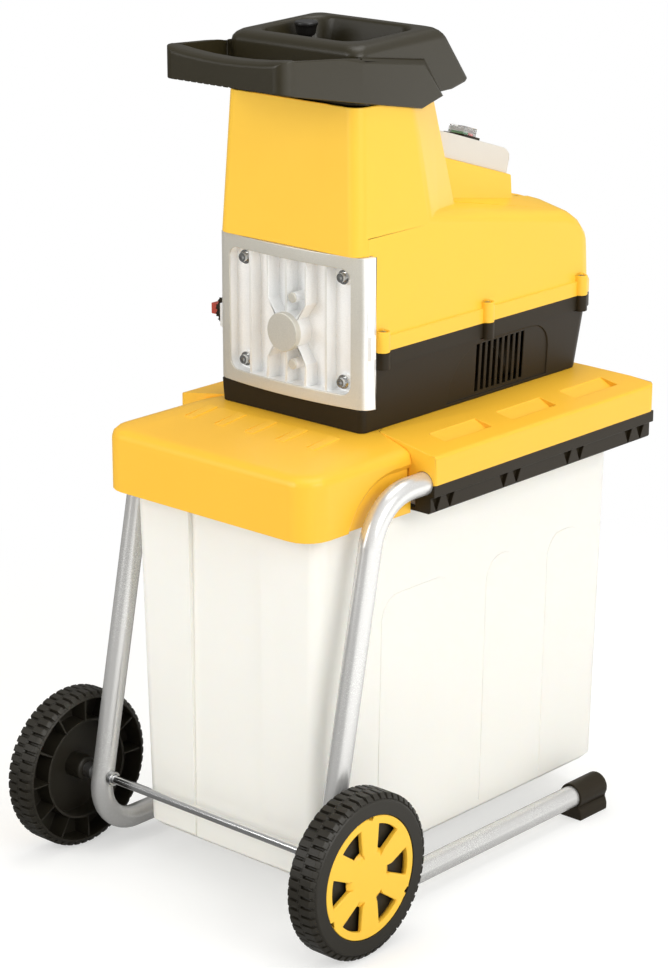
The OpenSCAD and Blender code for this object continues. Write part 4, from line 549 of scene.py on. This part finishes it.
class Tree:
    """A Geometry Nodes tree with named inputs for its sizes. It ends in one dressed mesh."""

    def __init__(self, name, inputs, material):
        self.group = bpy.data.node_groups.new(name, "GeometryNodeTree")
        face = self.group.interface
        face.new_socket("Geometry", in_out="INPUT", socket_type="NodeSocketGeometry")
        for label, value in inputs.items():
            kind = "NodeSocketInt" if isinstance(value, int) else "NodeSocketFloat"
            face.new_socket(label, in_out="INPUT", socket_type=kind)
        face.new_socket("Geometry", in_out="OUTPUT", socket_type="NodeSocketGeometry")
        self.values = inputs
        self.material = material
        self.start = Wire(self.group)
        entry = self.group.nodes.new("NodeGroupInput")
        self.inputs = {s.name: Wire(self.group, s) for s in entry.outputs if s.name}

    def join(self, *parts):
        made = self.group.nodes.new("GeometryNodeJoinGeometry")
        for part in reversed(parts):
            self.group.links.new(part.socket, made.inputs[0])
        return Wire(self.group, made.outputs[0])

    def vector(self, x=0.0, y=0.0, z=0.0):
        return self.start.add("ShaderNodeCombineXYZ", None, {0: x, 1: y, 2: z})

    def cylinder(self, sides, radius, top_radius, height, top):
        """A solid along Z, with its upper face at the height top."""
        sizes = {"Vertices": sides, "Radius Top": top_radius, "Radius Bottom": radius, "Depth": height}
        made = self.start.add("GeometryNodeMeshCone", None, sizes)
        return self.moved(made, self.vector(z=top - height))

    def cube(self, x, y, z):
        return self.start.add("GeometryNodeMeshCube", None, {"Size": self.vector(x, y, z)})

    def moved(self, part, step):
        return self.start.add("GeometryNodeTransform", None, {"Geometry": part, "Translation": step})

    def cut(self, part, *tools):
        made = self.group.nodes.new("GeometryNodeMeshBoolean")
        made.operation = "DIFFERENCE"
        self.group.links.new(part.socket, made.inputs[0])
        for tool in tools:
            self.group.links.new(tool.socket, made.inputs[1])
        return Wire(self.group, made.outputs[0])

    def named(self, name, kind):
        return self.start.add("GeometryNodeInputNamedAttribute", {"data_type": kind}, {"Name": name})

    def on_points(self, part, stretch=None):
        facing = self.named("facing", "FLOAT_VECTOR")
        turn = self.start.add("FunctionNodeAlignRotationToVector", {"axis": "Z"}, {"Vector": facing})
        links = {"Points": self.inputs["Geometry"], "Instance": part, "Rotation": turn}
        if stretch is not None:
            links["Scale"] = stretch
        return self.start.add("GeometryNodeInstanceOnPoints", None, links)

    def grow(self, result, name, mesh):
        """Runs the tree on a mesh and returns the outcome as a plain object."""
        plain = self.start.add("GeometryNodeRealizeInstances", None, {"Geometry": result})
        links = {"Geometry": plain, "Material": self.material}
        dressed = self.start.add("GeometryNodeSetMaterial", None, links)
        end = self.group.nodes.new("NodeGroupOutput")
        self.group.links.new(dressed.socket, end.inputs[0])
        piece = bpy.data.objects.new(name, mesh)
        scene.collection.objects.link(piece)
        growth = piece.modifiers.new("growth", "NODES")
        growth.node_group = self.group
        for item in self.group.interface.items_tree:
            if item.in_out == "INPUT" and item.name in self.values:
                growth[item.identifier] = self.values[item.name]
        deps = bpy.context.evaluated_depsgraph_get()
        piece.data = bpy.data.meshes.new_from_object(piece.evaluated_get(deps))
        piece.modifiers.clear()
        piece.data.set_sharp_from_angle(angle=grown_sharp_angle)
        return piece


shaped("housing_cover", "cover_shell", sun_yellow, edge=0.0016)
screw_seats = []
for low_end, high_end in islands("housing_screws"):
    size = high_end - low_end
    middle = (low_end + high_end) / 2
    if size.z > size.y:
        screw_seats.append((Vector((middle.x, middle.y, high_end.z)), (0, 0, 1), size.z))
    else:
        screw_seats.append((Vector((middle.x, high_end.y, middle.z)), (0, 1, 0), size.y))
sizes = {"Head": 0.0085, "Height": 0.0024, "Slot": 0.0012, "Depth": 0.0014, "Shank": 0.0045}
screws = Tree("cross_screws", sizes, plain_steel)
head, height = screws.inputs["Head"], screws.inputs["Height"]
slot, deep, shank = screws.inputs["Slot"], screws.inputs["Depth"], screws.inputs["Shank"]
cap = screws.cylinder(28, head * 0.5, head * 0.4, height, 0.0)
cross = (screws.cube(head * 0.56, slot, deep * 2.0), screws.cube(slot, head * 0.56, deep * 2.0))
reach_in = screws.named("reach", "FLOAT")
rod = screws.moved(screws.cylinder(20, shank * 0.5, shank * 0.5, 1.0, 0.0), screws.vector(z=-0.1))
rod = screws.on_points(rod, screws.vector(1.0, 1.0, reach_in * 0.9))
made = screws.join(screws.on_points(screws.cut(cap, *cross)), rod)
piece = screws.grow(made, "seam_screws", seats("screw_seats", screw_seats))
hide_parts("housing_screws")
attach(piece, "chassis")

# End plate
# A die-cast cover over the front bearing, bead blasted, with cooling fins and a round boss. Its
# front faces are painted a darker, warmer grey as a painted reflection, and its recess a paler grey
# as painted light. Four socket-head bolts with washers hold it.
plate_ahead = 0.101
plate_half = 0.1065
plate_bow = 0.01


def casting(name, reflection_front_grey, fresh):
    material, place = begin(name)
    grain = place.noise(1100, 3)
    broad = place.noise(14, 3)
    # Painted reflection and painted light: the front-most faces get the darker, warmer first grey for the
    # dark surroundings they mirror, and faces set back in the recess get the paler second grey for the
    # light they catch.
    behind = place.part("Y") + plate_ahead - (place.part("X") / plate_half) ** 2.0 * plate_bow
    recess_light_mask = (behind + (broad - 0.5) * 0.001).limit(0.0006, 0.003)
    speck = (grain * 0.6 + broad * 0.4).limit(0.3, 0.7, 0.92, 1.06)
    tone = recess_light_mask.between(rgb(reflection_front_grey), rgb(fresh))
    product = {"data_type": "RGBA", "blend_type": "MULTIPLY"}
    tone = place.add("ShaderNodeMix", product, {0: 1.0, 6: tone, 7: speck}, out=2)
    relief = place.add("ShaderNodeBump", None, {"Strength": 0.3, "Distance": 0.0002, "Height": grain})
    look = {
        "Base Color": tone,
        "Metallic": recess_light_mask.limit(0.0, 1.0, 0.45, 0.3),
        "Roughness": 0.42 + (grain - 0.5) * 0.2,
        "Normal": relief,
    }
    close(place, place.add("ShaderNodeBsdfPrincipled", None, look))
    return material


# The darker warm grey is a painted reflection on the plate's front faces; the pale grey is painted light in
# its recess.
blasted = casting("blasted_casting", (0.68, 0.66, 0.59), (0.95, 0.955, 0.95))
shaped("end_plate", "end_casting", blasted, edge=0.0012)
bolt_chrome = metal("bolt_chrome", (0.6, 0.6, 0.59), 0.18, cell=700, depth=0.05, drift=0.06)
bolt_seats = []
for low_end, high_end in islands("end_plate_bolts"):
    middle = (low_end + high_end) / 2
    bolt_seats.append((Vector((middle.x, low_end.y, middle.z)), (0, -1, 0), high_end.y - low_end.y))
sizes = {
    "Head": 0.0106,
    "Height": 0.006,
    "Socket": 0.0058,
    "Depth": 0.0035,
    "Washer": 0.0158,
    "Shank": 0.006,
}
bolts = Tree("socket_bolts", sizes, bolt_chrome)
head, height, washer = bolts.inputs["Head"], bolts.inputs["Height"], bolts.inputs["Washer"]
deep, shank = bolts.inputs["Depth"], bolts.inputs["Shank"]
cap = bolts.cylinder(32, head * 0.5, head * 0.46, height, 0.0)
socket = bolts.inputs["Socket"] * 0.5
hexagon = bolts.moved(bolts.cylinder(6, socket, socket, deep * 2.0, 0.0), bolts.vector(z=deep))
ring = bolts.cylinder(32, washer * 0.5, washer * 0.48, height * 0.2, height * -0.8)
reach_in = bolts.named("reach", "FLOAT")
rod = bolts.moved(bolts.cylinder(24, shank * 0.5, shank * 0.5, 1.0, 0.0), bolts.vector(z=-0.15))
rod = bolts.on_points(rod, bolts.vector(1.0, 1.0, reach_in * 0.85))
made = bolts.join(bolts.on_points(bolts.join(bolts.cut(cap, hexagon), ring)), rod)
piece = bolts.grow(made, "plate_bolts", seats("bolt_seats", bolt_seats))
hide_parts("end_plate_bolts")
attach(piece, "chassis")

# Hopper
# A black moulding screwed into the chimney's mouth: a funnel, a rim, bands beside the chimney and
# a carrying handle with ribs in its hollow underside. A loose pusher stands in the chute.
hopper_black = moulding("hopper_black", (0.024, 0.019, 0.007), 0.38, grain=0.45, cell=1100, shine=0.4)
shaped("hopper", "hopper_shell", hopper_black, edge=0.0016, steps=3)
pusher_black = moulding("pusher_black", (0.009, 0.008, 0.007), 0.34, grain=0.2)
shaped("pusher", "pusher_stick", pusher_black, edge=0.0008)
dress(hopper_black, "chute_duct")
sizes = {"Count": 9, "Pitch": 0.014, "Thickness": 0.002, "Depth": 0.0136, "Height": 0.022}
ribs = Tree("grip_ribs", sizes, hopper_black)
bar_y, bar_z = -0.1815, 0.887
count, pitch = ribs.inputs["Count"], ribs.inputs["Pitch"]
row = ribs.start.add("GeometryNodeMeshLine", None, {"Count": count, "Offset": ribs.vector(x=pitch)})
row = ribs.moved(row, ribs.vector(x=(count - 1.0) * pitch * -0.5, y=bar_y, z=bar_z))
rib = ribs.cube(ribs.inputs["Thickness"], ribs.inputs["Depth"], ribs.inputs["Height"])
made = ribs.start.add("GeometryNodeInstanceOnPoints", None, {"Points": row, "Instance": rib})
piece = ribs.grow(made, "handle_ribs", bpy.data.meshes.new("rib_row"))
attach(piece, "chassis")

# Adjusting knob
# A fluted black skirt with a red grip bar, on the screw that sets the counter plate.
knob_red = moulding("knob_red", (0.45, 0.06, 0.035), 0.4, grain=0.2)
shaped("knob_skirt", "knob_flutes", black_moulding, edge=0.0009)
shaped("knob_grip", "knob_bar", knob_red, edge=0.001)

# Switch box
# A pale grey shell on the pedestal behind the chimney. One black plate holds start and stop under
# a clear lid, the other the direction rocker.


def clear_lid(name):
    material, place = begin(name)
    fine = place.noise(500, 2)
    look = {
        "Base Color": (0.96, 0.96, 0.94, 1),
        "Roughness": 0.08 + fine * 0.08,
        "Transmission Weight": 0.92,
        "IOR": 1.3,
        "Alpha": 0.75,
    }
    close(place, place.add("ShaderNodeBsdfPrincipled", None, look))
    return material


shell_grey = moulding("shell_grey", (0.72, 0.685, 0.62), 0.42, grain=0.25)
stop_red = moulding("stop_red", (0.55, 0.03, 0.018), 0.3, grain=0.1, clear=0.2)
start_green = moulding("start_green", (0.03, 0.25, 0.07), 0.3, grain=0.1, clear=0.2)
lid_clear = clear_lid("lid_clear")
shaped("switch_box", "switch_shell", shell_grey, edge=0.0012)
shaped("switch_plate", "switch_frames", black_moulding, edge=0.0005)
shaped("start_button", "start_key", start_green, edge=0.0007)
shaped("stop_button", "stop_key", stop_red, edge=0.0007)
shaped("switch_guard", "switch_lid", lid_clear, edge=0.0004)
shaped("direction_rocker", "rocker_key", black_moulding, edge=0.0006)
shaped("reset_button", "reset_key", black_moulding, edge=0.0005)
shaped("power_inlet", "inlet_plug", black_moulding, edge=0.0005)

# Sizes of the CAD solids and of the dressed scene
low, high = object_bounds()
sizes = {"cad": [list(cad_low), list(cad_high)], "visual": [list(low), list(high)]}
